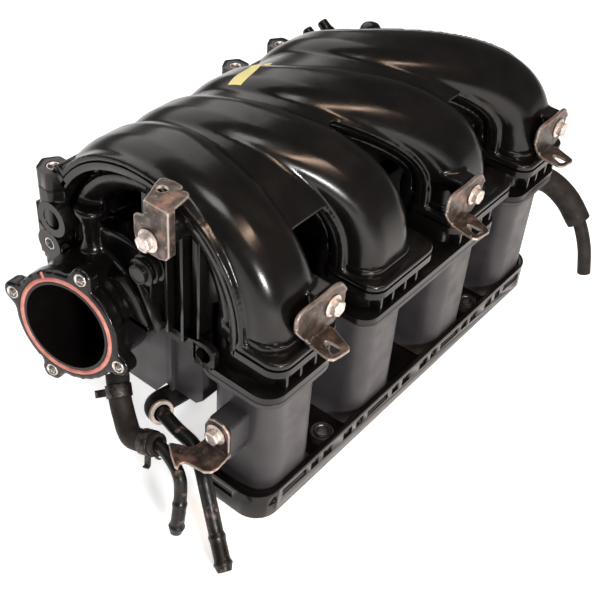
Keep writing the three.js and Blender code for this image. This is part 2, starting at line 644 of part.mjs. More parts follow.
// The stamped harness bracket: a wall behind the bolt, a tab turned back over the runner's
// shoulder and an ear turned forward, with a hole for a harness clip.
function harnessBracket(x) {
  const y1 = bracketSeat.y - gap;
  const y0 = y1 - sheet;
  const wallPlan = outline([
    [x - 22, 141], [x + 3, 141], [x + 9, 146], [x + 13, 155], [x + 13, 164], [x + 6, 171], [x - 33, 170],
    [x - 35, 158], [x - 29, 150],
  ]);
  const earPlan = outline([
    [x - 24, y1], [x - 25.5, y0 - 18], [x - 23, y0 - 21], [x - 11, y0 - 22.5], [x - 8.5, y0 - 20], [x - 2, y0 - 5],
    [x - 2, y1],
  ]);
  const earHolePlan = outline([[x - 15, y0 - 8], [x - 14, y0 - 18], [x - 20.5, y0 - 17]]);
  return cut(
    join(plateY(wallPlan, y0, y1), plateZ(earPlan, 141, 141 + sheet)),
    plateZ(earHolePlan, 140, 144),
    bar([x, y0 - 1, bracketSeat.z], [x, y1 + 1, bracketSeat.z], bracketHole),
  );
}
bracketX.forEach((x, n) => {
  add(`harness_bracket_${n + 1}`, harnessBracket(x), stamped);
  const seat = [x, bracketSeat.y - gap - sheet, bracketSeat.z];
  add(`harness_bolt_${n + 1}`, bolt(seat, [0, 1, 0], 14), zinc);
});

function cornerBracket() {
  const x1 = cornerBoss.x - gap;
  const x0 = x1 - sheet;
  const side = outline([
    [33, 196], [37, 193], [47, 192.6], [56, 193.5], [59.5, 198], [60, 215], [51.5, 217.5], [51.5, 227.8], [33, 227.8],
  ]);
  const top = outline([
    [x0, 33], [-171, 37], [-169.5, 41], [-172, 43.5], [-167, 46], [-168, 58], [-171, 60], [-182, 56], [x0, 51.5],
  ]);
  const returnFlange = box(x0, x0 + 6, 33, 35, 197, 227);
  return cut(
    join(plateX(side, x0, x1), plateZ(top, 225.8, 227.8), returnFlange),
    bar([x0 - 1, cornerBoss.y, cornerBoss.z], [x1 + 1, cornerBoss.y, cornerBoss.z], bracketHole),
    bar([-177.5, 51.4, 225], [-177.5, 51.4, 229], 3.4),
  );
}
add("corner_bracket", cornerBracket(), stamped);
add("corner_bolt", bolt([cornerBoss.x - gap - sheet, cornerBoss.y, cornerBoss.z], [1, 0, 0], 14), zinc);

function pipeBracket() {
  const x1 = pipeBoss.x - gap;
  const x0 = x1 - sheet;
  const shelf = outline([
    [x1, -10], [-200, -11], [-206, -7], [-207, 1], [-209, 8], [-215, 6], [-210, 17], [-203, 25], [-199, 19],
    [-197, 12], [x1, 11],
  ]);
  return cut(
    join(plateX(outline([[-9, 60.4], [11, 60.4], [11, 78], [5, 85], [-4, 85], [-9, 79]]), x0, x1), plateZ(shelf, 60.4, 62.4)),
    bar([x0 - 1, pipeBoss.y, pipeBoss.z], [x1 + 1, pipeBoss.y, pipeBoss.z], bracketHole),
  );
}
add("pipe_bracket", pipeBracket(), stamped);
add("pipe_bracket_bolt", bolt([pipeBoss.x - gap - sheet, pipeBoss.y, pipeBoss.z], [1, 0, 0], 11), zinc);

// ---------- coolant pipes and hoses ----------
const pipeA = [
  [-205, 44, 50.6], [-204, 34, 54], [-207, 20, 54], [-211, 9, 50], [-213, 6, 40], [-218, 3, 26], [-222, 2, 11],
];
const pipeB = [
  [-181.8, 57.2, 53.2], [-183.5, 51, 55], [-187, 34, 54.8], [-190, 16, 54.6], [-199, 1, 52], [-204, -8, 42],
  [-211, -22, 22], [-221, -39, 6.5],
];
const hoseA = [[-189, 85.3, 71.3], [-194.3, 79, 64.6], [-200, 69, 53], [-206, 56, 47.5], [-205, 45, 50], [-204, 34, 54]];
const hoseB = [[-183.5, 51, 55], [-181.5, 58, 52.8], [-172, 64, 47], [-158, 63.5, 44.6], [-128, 60.5, 44.8], [-112.5, 60, 45]];
const ventHose = [
  [177, -14, 95.2], [183.5, -25, 92], [187, -41, 82], [188, -56, 66], [188, -66.5, 45], [187, -73, 22],
];
const ventSleeve = ventHose.slice(0, 4);

// A bead near the pipe's end holds a hose on.
function pipe(points, radius) {
  const [before, last] = [vec(points.at(-2)), vec(points.at(-1))];
  const along = last.clone().sub(before).normalize();
  const bead = ring(radius - 0.6, radius + 1, 0, 3, last.addScaledVector(along, -7).toArray(), along.toArray());
  return tube(points, radius, radius - 1, 14, 8).add(bead);
}
add("coolant_pipe_a", pipe(pipeA, 4.2), painted);
add("coolant_pipe_b", pipe(pipeB, 4.9), painted);
add("coolant_hose_a", tube(hoseA, 7.7, 5.1, 11, 8), rubber);
add("coolant_hose_b", tube(hoseB, 8.2, 5.7, 11, 8), rubber);
add("vent_hose", tube(ventHose, 5.5, 3.4, 10, 8), rubber);
add("vent_hose_sleeve", tube(ventSleeve, 10, 7.2, 9, 8), rubber);

// A spring band round a hose, t of the way along it, with two tangs to squeeze.
function clamp(points, t, radius, tangWay) {
  const path = new THREE.CatmullRomCurve3(points.map(vec), false, "centripetal");
  const centre = path.getPointAt(t);
  const aim = path.getTangentAt(t);
  const out = vec(tangWay).addScaledVector(aim, -vec(tangWay).dot(aim)).normalize();
  const across = out.clone().cross(aim);
  const band = ring(radius + 0.6, radius + 1.8, -4, 4, centre.toArray(), aim.toArray(), 16);
  const tang = (shift) => {
    const from = centre.clone().addScaledVector(out, radius + 1).addScaledVector(across, shift);
    return bar(from.toArray(), from.clone().addScaledVector(out, 6).toArray(), 2, 2, 4);
  };
  return join(band, tang(-3), tang(3));
}
add("hose_a_clamp_1", clamp(hoseA, 0.16, 7.7, [-0.2, 0.8, -0.5]), steel);
add("hose_a_clamp_2", clamp(hoseA, 0.88, 7.7, [-0.2, 0.3, -1]), steel);
add("hose_b_clamp", clamp(hoseB, 0.93, 8.2, [0, -0.4, -1]), steel);

export default group;
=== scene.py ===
"""The looks of a moulded intake manifold: its shells, seals, brackets, pipes and hoses.

Shapes are worked out in millimetres in the CAD's own frame and become metres when a piece is made.
+X runs along the row of ports away from the throttle, +Y from the runners' front to the plenum.
"""
import math

import bmesh
import bpy
from mathutils import Matrix, Quaternion, Vector
from mathutils.bvhtree import BVHTree


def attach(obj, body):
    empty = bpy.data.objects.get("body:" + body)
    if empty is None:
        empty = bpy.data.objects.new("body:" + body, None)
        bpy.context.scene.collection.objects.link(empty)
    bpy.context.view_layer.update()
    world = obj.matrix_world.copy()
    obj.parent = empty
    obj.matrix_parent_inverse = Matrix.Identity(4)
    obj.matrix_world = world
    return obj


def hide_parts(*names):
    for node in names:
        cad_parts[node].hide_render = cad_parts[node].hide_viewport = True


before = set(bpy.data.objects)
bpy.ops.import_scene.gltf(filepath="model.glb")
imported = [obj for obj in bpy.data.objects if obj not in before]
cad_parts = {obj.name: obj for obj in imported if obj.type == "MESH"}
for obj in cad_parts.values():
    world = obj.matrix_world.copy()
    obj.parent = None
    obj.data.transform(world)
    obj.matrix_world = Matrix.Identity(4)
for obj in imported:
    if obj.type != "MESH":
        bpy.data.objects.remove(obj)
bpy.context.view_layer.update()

MM = 0.001

# ---------- driving dimensions, as in the CAD ----------
PORT_X = [(n - 1.5) * 95 for n in range(4)]
ARCH_Y, ARCH_Z, ARCH_R = 78, 144, 78
RUNNER_LEAN = [0, -50, -90, -112]
LEAN_FROM, LEAN_TO = 170, 72
HALF_FRONT, HALF_TOP = 25, 23
CROWN_FRONT, CROWN_TOP = 25, 10
BELLY = 26
CORNER = 0.62
LIP_Z = 135
COVER_START, END_ANGLE = 186.6, 34
RIM = 4.6
RIM_LEFT = -172
WELD_Z = 112
WELD_RIM = 4.8
WELD_FRONT = -33.5
LIP_RIGHT = [31, 42, 50, 31]
LIP_LEFT = 29.5
WEB_END = [148, 118, 140]
# each side of a weld keeps half of the joint line between the shells
HALF_JOINT = 0.15
WELD_TOP = WELD_Z + 2 * HALF_JOINT
WELD_UNDER = WELD_Z - 2 * HALF_JOINT
LIP_DEPTH = 4
LAST_RIM = 6.5
THROTTLE_FACE = Vector((-204, 114.6, 104.2))
THROTTLE_AIM = Vector((-1, -0.2, 0.1)).normalized()


# ---------- camera and stage ----------
LENS = 62.4
CAMERA_AT = Vector((-507.1, -284.9, 555.9))
CAMERA_TARGET = Vector((-76.7, 25.6, 99.4))
CAMERA_ROLL = math.radians(4.86)
FLOOR_HALF, FLOOR_TOP = 6000, -1
FLOOR_GLOW = 0.62
WORLD_LIGHT = 0.14
# emission on the paint mark: a painted glow that lights it beyond the lamps
MARK_PAINTED_GLOW = 0.25


# ---------- node materials ----------
def material(name, base, roughness, metallic=0.0, specular=0.5):
    """A Principled material whose colour and bump are added by the helpers below."""
    mat = bpy.data.materials.new(name)
    mat.use_nodes = True
    nodes = mat.node_tree.nodes
    shader = nodes["Principled BSDF"]
    shader.inputs["Base Color"].default_value = (*base, 1)
    shader.inputs["Roughness"].default_value = roughness
    shader.inputs["Metallic"].default_value = metallic
    shader.inputs["Specular IOR Level"].default_value = specular
    return mat


def link(mat, a, b):
    mat.node_tree.links.new(a, b)


def noise(mat, scale, detail=4.0, stretch=(1, 1, 1)):
    """Noise in the object's own coordinates; scale is in cells per metre."""
    nodes = mat.node_tree.nodes
    place = nodes.new("ShaderNodeTexCoord")
    mapping = nodes.new("ShaderNodeMapping")
    mapping.inputs["Scale"].default_value = stretch
    tex = nodes.new("ShaderNodeTexNoise")
    tex.inputs["Scale"].default_value = scale
    tex.inputs["Detail"].default_value = detail
    link(mat, place.outputs["Object"], mapping.inputs["Vector"])
    link(mat, mapping.outputs["Vector"], tex.inputs["Vector"])
    return tex.outputs["Fac"]


def ramp(mat, fac, stops):
    node = mat.node_tree.nodes.new("ShaderNodeValToRGB")
    while len(node.color_ramp.elements) < len(stops):
        node.color_ramp.elements.new(0.5)
    for element, (at, color) in zip(node.color_ramp.elements, stops):
        element.position = at
        element.color = (*color, 1)
    link(mat, fac, node.inputs["Fac"])
    return node.outputs["Color"]


def value_range(mat, fac, low, high):
    node = mat.node_tree.nodes.new("ShaderNodeMapRange")
    node.inputs["From Min"].default_value = 0.3
    node.inputs["From Max"].default_value = 0.7
    node.inputs["To Min"].default_value = low
    node.inputs["To Max"].default_value = high
    link(mat, fac, node.inputs["Value"])
    return node.outputs["Result"]


def mix_color(mat, fac, a, b):
    node = mat.node_tree.nodes.new("ShaderNodeMix")
    node.data_type = "RGBA"
    link(mat, fac, node.inputs["Factor"])
    for socket, color in ((node.inputs[6], a), (node.inputs[7], b)):
        if isinstance(color, tuple):
            socket.default_value = (*color, 1)
        else:
            link(mat, color, socket)
    return node.outputs[2]


def worn_edges(mat, low, high):
    """White on convex edges, from how the surface curves."""
    nodes = mat.node_tree.nodes
    geometry = nodes.new("ShaderNodeNewGeometry")
    node = nodes.new("ShaderNodeMapRange")
    node.inputs["From Min"].default_value = low
    node.inputs["From Max"].default_value = high
    link(mat, geometry.outputs["Pointiness"], node.inputs["Value"])
    return node.outputs["Result"]


def bump(mat, fac, distance, strength=0.5):
    node = mat.node_tree.nodes.new("ShaderNodeBump")
    node.inputs["Strength"].default_value = strength
    node.inputs["Distance"].default_value = distance
    link(mat, fac, node.inputs["Height"])
    link(mat, node.outputs["Normal"], mat.node_tree.nodes["Principled BSDF"].inputs["Normal"])


def surface(mat, color=None, roughness=None):
    shader = mat.node_tree.nodes["Principled BSDF"]
    if color is not None:
        link(mat, color, shader.inputs["Base Color"])
    if roughness is not None:
        link(mat, roughness, shader.inputs["Roughness"])


def nylon(name, dark, light, rough_low, rough_high, grain):
    mat = material(name, dark, rough_low, specular=0.36)
    cloud = noise(mat, 38, 6)
    surface(mat, ramp(mat, cloud, [(0.3, dark), (0.75, light)]),
            value_range(mat, noise(mat, 90, 5), rough_low, rough_high))
    bump(mat, noise(mat, 900, 3), grain, 0.35)
    return mat


MATERIALS = {}


def make_materials():
    m = MATERIALS
    m["nylon_gloss"] = nylon(
        "nylon_gloss", (0.0028, 0.0024, 0.0023), (0.0062, 0.0052, 0.0048), 0.17, 0.27, 0.00006)
    m["nylon_satin"] = nylon(
        "nylon_satin", (0.026, 0.0235, 0.026), (0.047, 0.043, 0.047), 0.36, 0.5, 0.0001)

    seal = material("silicone", (0.56, 0.20, 0.16), 0.5)
    surface(seal, ramp(seal, noise(seal, 160), [(0.3, (0.44, 0.13, 0.105)), (0.7, (0.62, 0.25, 0.20))]))
    bump(seal, noise(seal, 1400), 0.0001)
    m["silicone"] = seal

    brass = material("insert_brass", (0.6, 0.56, 0.53), 0.3, 1.0)
    surface(brass, ramp(brass, noise(brass, 500), [(0.3, (0.38, 0.35, 0.33)), (0.7, (0.78, 0.74, 0.71))]))
    bump(brass, noise(brass, 2500), 0.0001)
    m["insert_brass"] = brass

    for name, low, high, rough in (
        ("limiter_steel", (0.10, 0.098, 0.095), (0.24, 0.235, 0.23), 0.34),
        ("bolt_zinc", (0.56, 0.49, 0.45), (0.84, 0.77, 0.72), 0.42),
        ("clamp_steel", (0.025, 0.022, 0.02), (0.09, 0.08, 0.075), 0.42),
    ):
        steel = material(name, high, rough, 1.0)
        surface(steel, ramp(steel, noise(steel, 420, 6), [(0.32, low), (0.62, high)]),
                value_range(steel, noise(steel, 700), rough, rough + 0.18))
        bump(steel, noise(steel, 1800), 0.00008)
        m[name] = steel

    stamped = material("bracket_steel", (0.1, 0.08, 0.07), 0.4, 0.7)
    stain = ramp(stamped, noise(stamped, 150, 9), [
        (0.25, (0.024, 0.019, 0.018)), (0.52, (0.075, 0.059, 0.052)), (0.8, (0.22, 0.17, 0.15))])
    rusty = value_range(stamped, noise(stamped, 90, 7), -1.3, 0.9)
    rust = mix_color(stamped, rusty, stain, (0.26, 0.14, 0.105))
    chipped = value_range(stamped, noise(stamped, 420, 9), -4.2, 0.7)
    chips = mix_color(stamped, chipped, rust, (0.42, 0.35, 0.31))
    surface(stamped, mix_color(stamped, worn_edges(stamped, 0.515, 0.56), chips, (0.62, 0.53, 0.46)),
            value_range(stamped, noise(stamped, 260), 0.28, 0.55))
    bump(stamped, noise(stamped, 900, 6), 0.00012)
    m["bracket_steel"] = stamped

    paint = material("pipe_paint", (0.012, 0.011, 0.010), 0.3, specular=0.3)
    scuff = value_range(paint, noise(paint, 160, 9), -2.4, 1.0)
    surface(paint, mix_color(paint, scuff, (0.006, 0.0055, 0.005), (0.13, 0.09, 0.075)),
            value_range(paint, noise(paint, 300), 0.24, 0.5))
    bump(paint, noise(paint, 1100, 5), 0.0001)
    m["pipe_paint"] = paint

    rubber = material("hose_rubber", (0.014, 0.011, 0.010), 0.55, specular=0.22)
    tint = ramp(rubber, noise(rubber, 120, 7), [(0.3, (0.008, 0.0065, 0.006)), (0.72, (0.026, 0.020, 0.018))])
    surface(rubber, tint, value_range(rubber, noise(rubber, 210), 0.5, 0.75))
    bump(rubber, noise(rubber, 1300, 5), 0.00014)
    m["hose_rubber"] = rubber

    mark = material("mark_paint", (0.86, 0.80, 0.36), 0.55)
    surface(mark, ramp(mark, noise(mark, 260, 6), [(0.3, (0.80, 0.73, 0.30)), (0.65, (0.96, 0.90, 0.50))]))
    shader = mark.node_tree.nodes["Principled BSDF"]
    # painted light: the mark glows by emission, brighter than the lamps alone make it
    shader.inputs["Emission Color"].default_value = (0.9, 0.82, 0.36, 1)
    shader.inputs["Emission Strength"].default_value = MARK_PAINTED_GLOW
    bump(mark, noise(mark, 1500), 0.0001)
    m["mark_paint"] = mark

    floor = material("floor_paper", (0.86, 0.86, 0.86), 0.85, specular=0.1)
    surface(floor, ramp(floor, noise(floor, 3), [(0.3, (0.86, 0.86, 0.865)), (0.7, (0.88, 0.88, 0.88))]))
    glow = floor.node_tree.nodes["Principled BSDF"]
    glow.inputs["Emission Color"].default_value = (1, 1, 1, 1)
    glow.inputs["Emission Strength"].default_value = FLOOR_GLOW
    m["floor_paper"] = floor


# ---------- mesh helpers, in millimetres ----------
def skin(bm, rings, closed=False):
    """Joins rings of points, each with the same count, into one closed body."""
    loops = [[bm.verts.new(p) for p in ring] for ring in rings]
    pairs = list(zip(loops, loops[1:]))
    if closed:
        pairs.append((loops[-1], loops[0]))
    for a, b in pairs:
        for i in range(len(a)):
            j = (i + 1) % len(a)
            bm.faces.new((a[i], a[j], b[j], b[i]))
    if not closed:
        bm.faces.new(list(reversed(loops[0])))
        bm.faces.new(loops[-1])


def frame_of(aim):
    """Two directions square to aim."""
    aim = Vector(aim).normalized()
    side = aim.orthogonal().normalized()
    return side, aim.cross(side)


def turned(bm, origin, aim, profile, count=40, closed=False, phase=0.0):
    """A body of revolution. The profile's points are (radius, height along aim)."""
    origin, aim = Vector(origin), Vector(aim).normalized()
    a, b = frame_of(aim)
    rings = []
    for radius, height in profile:
        radius = max(radius, 0.02)
        rings.append([
            origin + aim * height + a * radius * math.cos(phase + 2 * math.pi * n / count)
            + b * radius * math.sin(phase + 2 * math.pi * n / count)
            for n in range(count)
        ])
    skin(bm, rings, closed)


def bar(bm, a, b, radius, end_radius=None, count=32):
    a, b = Vector(a), Vector(b)
    turned(bm, a, b - a, [(radius, 0), (radius if end_radius is None else end_radius, (b - a).length)], count)


def rounded(u0, u1, v0, v1, corner, steps=8):
    """A rounded rectangle, counterclockwise."""
    points = []
    for cu, cv, start in ((u1 - corner, v0 + corner, -90), (u1 - corner, v1 - corner, 0),
                          (u0 + corner, v1 - corner, 90), (u0 + corner, v0 + corner, 180)):
        for n in range(steps + 1):
            t = math.radians(start + 90 * n / steps)
            points.append((cu + corner * math.cos(t), cv + corner * math.sin(t)))
    return points


def raised(outline, axis, w):
    """An outline at w along an axis: drawn in XY for "z", in YZ for "x" and in XZ for "y"."""
    return [{"z": (u, v, w), "x": (w, u, v), "y": (u, w, v)}[axis] for u, v in outline]


def plate(bm, outline, axis, low, high):
    """An outline pushed along an axis."""
    skin(bm, [raised(outline, axis, w) for w in (low, high)])


def block(bm, x0, x1, y0, y1, z0, z1):
    plate(bm, [(x0, y0), (x1, y0), (x1, y1), (x0, y1)], "z", z0, z1)


def smooth_path(points, step):
    """A centripetal Catmull-Rom curve through the points, cut into even steps."""
    pts = [Vector(p) for p in points]
    pts = [2 * pts[0] - pts[1], *pts, 2 * pts[-1] - pts[-2]]
    dense = []
    for p0, p1, p2, p3 in zip(pts, pts[1:], pts[2:], pts[3:]):
        t = [0.0]
        for a, b in ((p0, p1), (p1, p2), (p2, p3)):
            t.append(t[-1] + max((b - a).length, 1e-6) ** 0.5)
        for n in range(40):
            s = t[1] + (t[2] - t[1]) * n / 40
            a1 = p0 * (t[1] - s) / (t[1] - t[0]) + p1 * (s - t[0]) / (t[1] - t[0])
            a2 = p1 * (t[2] - s) / (t[2] - t[1]) + p2 * (s - t[1]) / (t[2] - t[1])
            a3 = p2 * (t[3] - s) / (t[3] - t[2]) + p3 * (s - t[2]) / (t[3] - t[2])
            b1 = a1 * (t[2] - s) / (t[2] - t[0]) + a2 * (s - t[0]) / (t[2] - t[0])
            b2 = a2 * (t[3] - s) / (t[3] - t[1]) + a3 * (s - t[1]) / (t[3] - t[1])
            dense.append(b1 * (t[2] - s) / (t[2] - t[1]) + b2 * (s - t[1]) / (t[2] - t[1]))
    dense.append(pts[-2])
    lengths = [0.0]
    for a, b in zip(dense, dense[1:]):
        lengths.append(lengths[-1] + (b - a).length)
    count = max(2, round(lengths[-1] / step))
    out, k = [], 0
    for n in range(count + 1):
        want = lengths[-1] * n / count
        while k < len(lengths) - 2 and lengths[k + 1] < want:
            k += 1
        span = max(lengths[k + 1] - lengths[k], 1e-9)
        out.append(dense[k].lerp(dense[k + 1], (want - lengths[k]) / span))
    return out


def carry(path):
    """At each point of a path, its direction and two directions square to it that don't twist."""
    frames, side = [], None
    for n, point in enumerate(path):
        ahead = path[min(n + 1, len(path) - 1)] - path[max(n - 1, 0)]
        ahead.normalize()
        side = ahead.orthogonal() if side is None else side - ahead * side.dot(ahead)
        side.normalize()
        frames.append((point, ahead, side, ahead.cross(side)))
    return frames


def hose(bm, points, radius, bore=0.0, step=2.5, count=28, swell=None):
    """A round tube along a path. swell(t) scales the radius along it, t from 0 to 1."""
    frames = carry(smooth_path(points, step))
    last = len(frames) - 1

    def ring(n, r):
        point, _, a, b = frames[n]
        return [point + (a * math.cos(2 * math.pi * k / count) + b * math.sin(2 * math.pi * k / count)) * r
                for k in range(count)]
    scale = swell or (lambda t: 1.0)
    rings = [ring(n, radius * scale(n / last)) for n in range(last + 1)]
    if bore:
        rings += [ring(n, bore) for n in reversed(range(last + 1))]
    skin(bm, rings, closed=bool(bore))


def finish_mesh(bm, name):
    bmesh.ops.recalc_face_normals(bm, faces=bm.faces)
    bmesh.ops.scale(bm, vec=(MM, MM, MM), verts=bm.verts)
    mesh = bpy.data.meshes.new(name)
    bm.to_mesh(mesh)
    bm.free()
    obj = bpy.data.objects.new(name, mesh)
    bpy.context.scene.collection.objects.link(obj)
    return obj


def shade(obj, angle=40):
    mesh = obj.data
    mesh.shade_smooth()
    mesh.set_sharp_from_angle(angle=math.radians(angle))


def dress(obj, slot, material_name=None, replaces=()):
    obj.data.materials.clear()
    obj.data.materials.append(MATERIALS[material_name or slot])
    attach(obj, "root")
    if replaces:
        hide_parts(*replaces)
    return obj


def bevel(obj, width, segments=2, angle=35):
    mod = obj.modifiers.new("edges", "BEVEL")
    mod.width = width * MM
    mod.segments = segments
    mod.limit_method = "ANGLE"
    mod.angle_limit = math.radians(angle)
    mod.harden_normals = True
    mod.use_clamp_overlap = True


def apply_modifiers(obj):
    graph = bpy.context.evaluated_depsgraph_get()
    mesh = bpy.data.meshes.new_from_object(obj.evaluated_get(graph))
    obj.modifiers.clear()
    old = obj.data
    obj.data = mesh
    bpy.data.meshes.remove(old)


def carve(obj, *cutters):
    """Cuts each cutter out of obj in turn, and removes it."""
    for cutter in cutters:
        mod = obj.modifiers.new("cut", "BOOLEAN")
        mod.operation = "DIFFERENCE"
        mod.solver = "EXACT"
        mod.object = cutter
        apply_modifiers(obj)
        bpy.data.objects.remove(cutter)


def cutter(draw, *args):
    """A throwaway body for carve, drawn by one of the functions above."""
    bm = bmesh.new()
    draw(bm, *args)
    return finish_mesh(bm, "cutter")


def melt(obj, voxel, passes):
    """Fuses overlapping bodies into one skin with small fillets."""
    remesh = obj.modifiers.new("fuse", "REMESH")
    remesh.mode = "VOXEL"
    remesh.voxel_size = voxel * MM
    relax = obj.modifiers.new("relax", "SMOOTH")
    relax.factor = 0.5
    relax.iterations = passes
    apply_modifiers(obj)


# ---------- camera, floor and light ----------
def make_camera():
    data = bpy.data.cameras.new("camera")
    data.lens = LENS
    data.sensor_width = 36
    data.clip_start = 0.01
    camera = bpy.data.objects.new("camera", data)
    bpy.context.scene.collection.objects.link(camera)
    place = CAMERA_AT * MM
    aim = (CAMERA_TARGET * MM - place).to_track_quat("-Z", "Y")
    turn = aim @ Quaternion((0, 0, 1), CAMERA_ROLL)
    camera.matrix_world = Matrix.Translation(place) @ turn.to_matrix().to_4x4()
    bpy.context.scene.camera = camera


def area_light(name, place, target, size, power, color=(1, 1, 1), height=None):
    data = bpy.data.lights.new(name, "AREA")
    data.shape = "RECTANGLE"
    data.size = size
    data.size_y = height or size
    data.energy = power
    data.color = color
    lamp = bpy.data.objects.new(name, data)
    bpy.context.scene.collection.objects.link(lamp)
    place = Vector(place)
    turn = (Vector(target) - place).to_track_quat("-Z", "Y")
    lamp.matrix_world = Matrix.Translation(place) @ turn.to_matrix().to_4x4()


def make_stage():
    bm = bmesh.new()
    corners = [(-1, -1), (1, -1), (1, 1), (-1, 1)]
    bm.faces.new([bm.verts.new((u * FLOOR_HALF, v * FLOOR_HALF, FLOOR_TOP)) for u, v in corners])
    floor = finish_mesh(bm, "floor")
    floor.data.materials.append(MATERIALS["floor_paper"])
    world = bpy.data.worlds.new("studio")
    world.use_nodes = True
    back = world.node_tree.nodes["Background"]
    back.inputs["Color"].default_value = (1.0, 1.0, 1.0, 1)
    back.inputs["Strength"].default_value = WORLD_LIGHT
    bpy.context.scene.world = world
    bpy.context.scene.view_settings.view_transform = "Standard"
    area_light("back_soft", (0.35, 1.35, 1.35), (0, 0.05, 0.15), 2.4, 19, (1.0, 0.95, 0.92), 1.5)
    area_light("top_soft", (-0.3, -0.2, 1.7), (0, 0.0, 0.1), 0.5, 6, (1.0, 0.97, 0.94))
    area_light("flash", (-0.68, -0.95, 0.50), (-0.05, 0.03, 0.19), 0.20, 13, (1.0, 0.98, 0.96), 0.12)
    area_light("warm_strip", (0.02, -0.62, 1.08), (-0.02, 0.04, 0.2), 0.75, 6.5, (1.0, 0.72, 0.53), 0.10)


# ---------- runners ----------
def smooth(t):
    t = min(1.0, max(0.0, t))
    return t * t * (3 - 2 * t)


def lean_at(runner, angle):
    return RUNNER_LEAN[runner] * smooth((LEAN_FROM - angle) / (LEAN_FROM - LEAN_TO))


def station(runner, angle):
    """A runner's centre, outward, sideways, half width, crown and roundness at an angle of the arch."""
    arc = min(180.0, max(0.0, angle))
    t = math.radians(arc)
    straight = math.radians(abs(angle - arc)) * ARCH_R
    centre = Vector((PORT_X[runner] + lean_at(runner, arc), ARCH_Y + ARCH_R * math.cos(t),
                     ARCH_Z + ARCH_R * math.sin(t) - straight))
    outward = Vector((0, math.cos(t), math.sin(t)))
    slope = lean_at(runner, arc - 0.5) - lean_at(runner, arc + 0.5)
    per_degree = math.radians(ARCH_R)
    along = Vector((slope, math.sin(t) * per_degree, -math.cos(t) * per_degree)).normalized()
    rise = smooth((178 - arc) / 80)
    half = HALF_FRONT + (HALF_TOP - HALF_FRONT) * rise
    crown = CROWN_FRONT + (CROWN_TOP - CROWN_FRONT) * rise
    return centre, outward, outward.cross(along), half, crown, 0.15 + 0.7 * rise


UNIT_SECTION = rounded(-1, 1, -1, 1, CORNER, 10)


def crown_ring(runner, angle, base):
    """The crown half of a section, closed by a flat base."""
    centre, outward, side, half, crown, roundness = station(runner, angle)
    ring = []
    for u, v in UNIT_SECTION:
        if v <= 0.001:
            continue
        turn = math.atan2(v, u)
        across = (u + (math.cos(turn) - u) * roundness) * half
        up = (v + (math.sin(turn) - v) * roundness) * crown
        ring.append(centre + side * across + outward * max(up, base))
    ring.append(centre - side * half + outward * base)
    ring.append(centre + side * half + outward * base)
    return ring


def belly_ring(runner, angle):
    """The belly half of a section, closed by a flat top."""
    centre, outward, side, half, _, _ = station(runner, angle)
    ring = []
    for u, v in UNIT_SECTION:
        if v >= -0.001:
            continue
        ring.append(centre + side * u * half + outward * v * BELLY)
    ring.append(centre + side * half - outward * HALF_JOINT)
    ring.append(centre - side * half - outward * HALF_JOINT)
    return ring


def wall_at(runner, angle, way):
    """The X of a runner's side at an angle: way is -1 for its left side and 1 for its right."""
    centre, _, side, half, _, _ = station(runner, angle)
    return centre.x + way * half / abs(side.x)


def strip(bm, start, end, r0, r1, left, right, step=2.0):
    """A band round the arch between two radii and two edges along X that may change with the angle."""
    count = max(1, round(abs(start - end) / step))
    rings = []
    for n in range(count + 1):
        angle = start + (end - start) * n / count
        t = math.radians(angle)
        x0, x1 = left(angle), right(angle)
        rings.append([
            (x, ARCH_Y + r * math.cos(t), ARCH_Z + r * math.sin(t))
            for x, r in ((x1, r0), (x1, r1), (x0, r1), (x0, r0))
        ])
    skin(bm, rings)


def rims(bm, r0, r1, start, end):
    """The weld rim along every runner, and the webs between them behind the openings."""
    flange = 3.6
    for n in range(4):
        left = (lambda a: RIM_LEFT) if n == 0 else (lambda a, n=n: wall_at(n, a, -1) - flange)
        right = (lambda a, n=n: wall_at(n, a, 1) + (LAST_RIM if n == 3 else flange))
        strip(bm, start, end, r0, r1, left, right)
    for n, web in enumerate(WEB_END):
        strip(bm, web, end, r0, r1, lambda a, n=n: wall_at(n, a, 1), lambda a, n=n: wall_at(n + 1, a, -1))


def lip_outline(n):
    return rounded(PORT_X[n] - LIP_LEFT, PORT_X[n] + LIP_RIGHT[n], WELD_FRONT, 14, 12, 8)


BRACKET_X = [-121.5, 35.5, 156]
BRACKET_Z = 157
SEAT_Y = -28.3


def runner_cover():
    bm = bmesh.new()
    for n in range(4):
        angles = [COVER_START - k * 2 for k in range(77)]
        skin(bm, [crown_ring(n, a, HALF_JOINT) for a in angles])
        plate(bm, lip_outline(n), "z", LIP_Z + HALF_JOINT, LIP_Z + 5.5)
    rims(bm, ARCH_R + HALF_JOINT, ARCH_R + RIM, COVER_START, END_ANGLE)
    strip(bm, END_ANGLE + LIP_DEPTH, END_ANGLE, ARCH_R + HALF_JOINT, ARCH_R + 9, lambda a: RIM_LEFT,
          lambda a: wall_at(3, END_ANGLE, 1) + LAST_RIM)
    for x in BRACKET_X:
        bar(bm, (x, SEAT_Y, BRACKET_Z), (x, SEAT_Y + 20, BRACKET_Z), 9)
        block(bm, x - 14, x + 3.5, SEAT_Y, 2, 160, 170)
    cover = finish_mesh(bm, "runner_cover_skin")
    melt(cover, 1.25, 7)
    shade(cover, 50)
    return dress(cover, "nylon_gloss", replaces=["runner_cover"])


def ring_wall(bm, outer, inner, axis, low, high):
    """A wall between two outlines with the same count of points, pushed along an axis."""
    skin(bm, [
        raised(outer, axis, low), raised(outer, axis, high),
        raised(inner, axis, high), raised(inner, axis, low),
    ], closed=True)


def ngon(cu, cv, radius, sides, count=48, phase=0.0):
    """A polygon with softened corners, drawn with count points."""
    points = []
    for k in range(count):
        t = 2 * math.pi * k / count
        part = (t - phase) % (2 * math.pi / sides) - math.pi / sides
        r = min(radius / math.cos(part), radius * 1.1)
        points.append((cu + r * math.cos(t), cv + r * math.sin(t)))
    return points


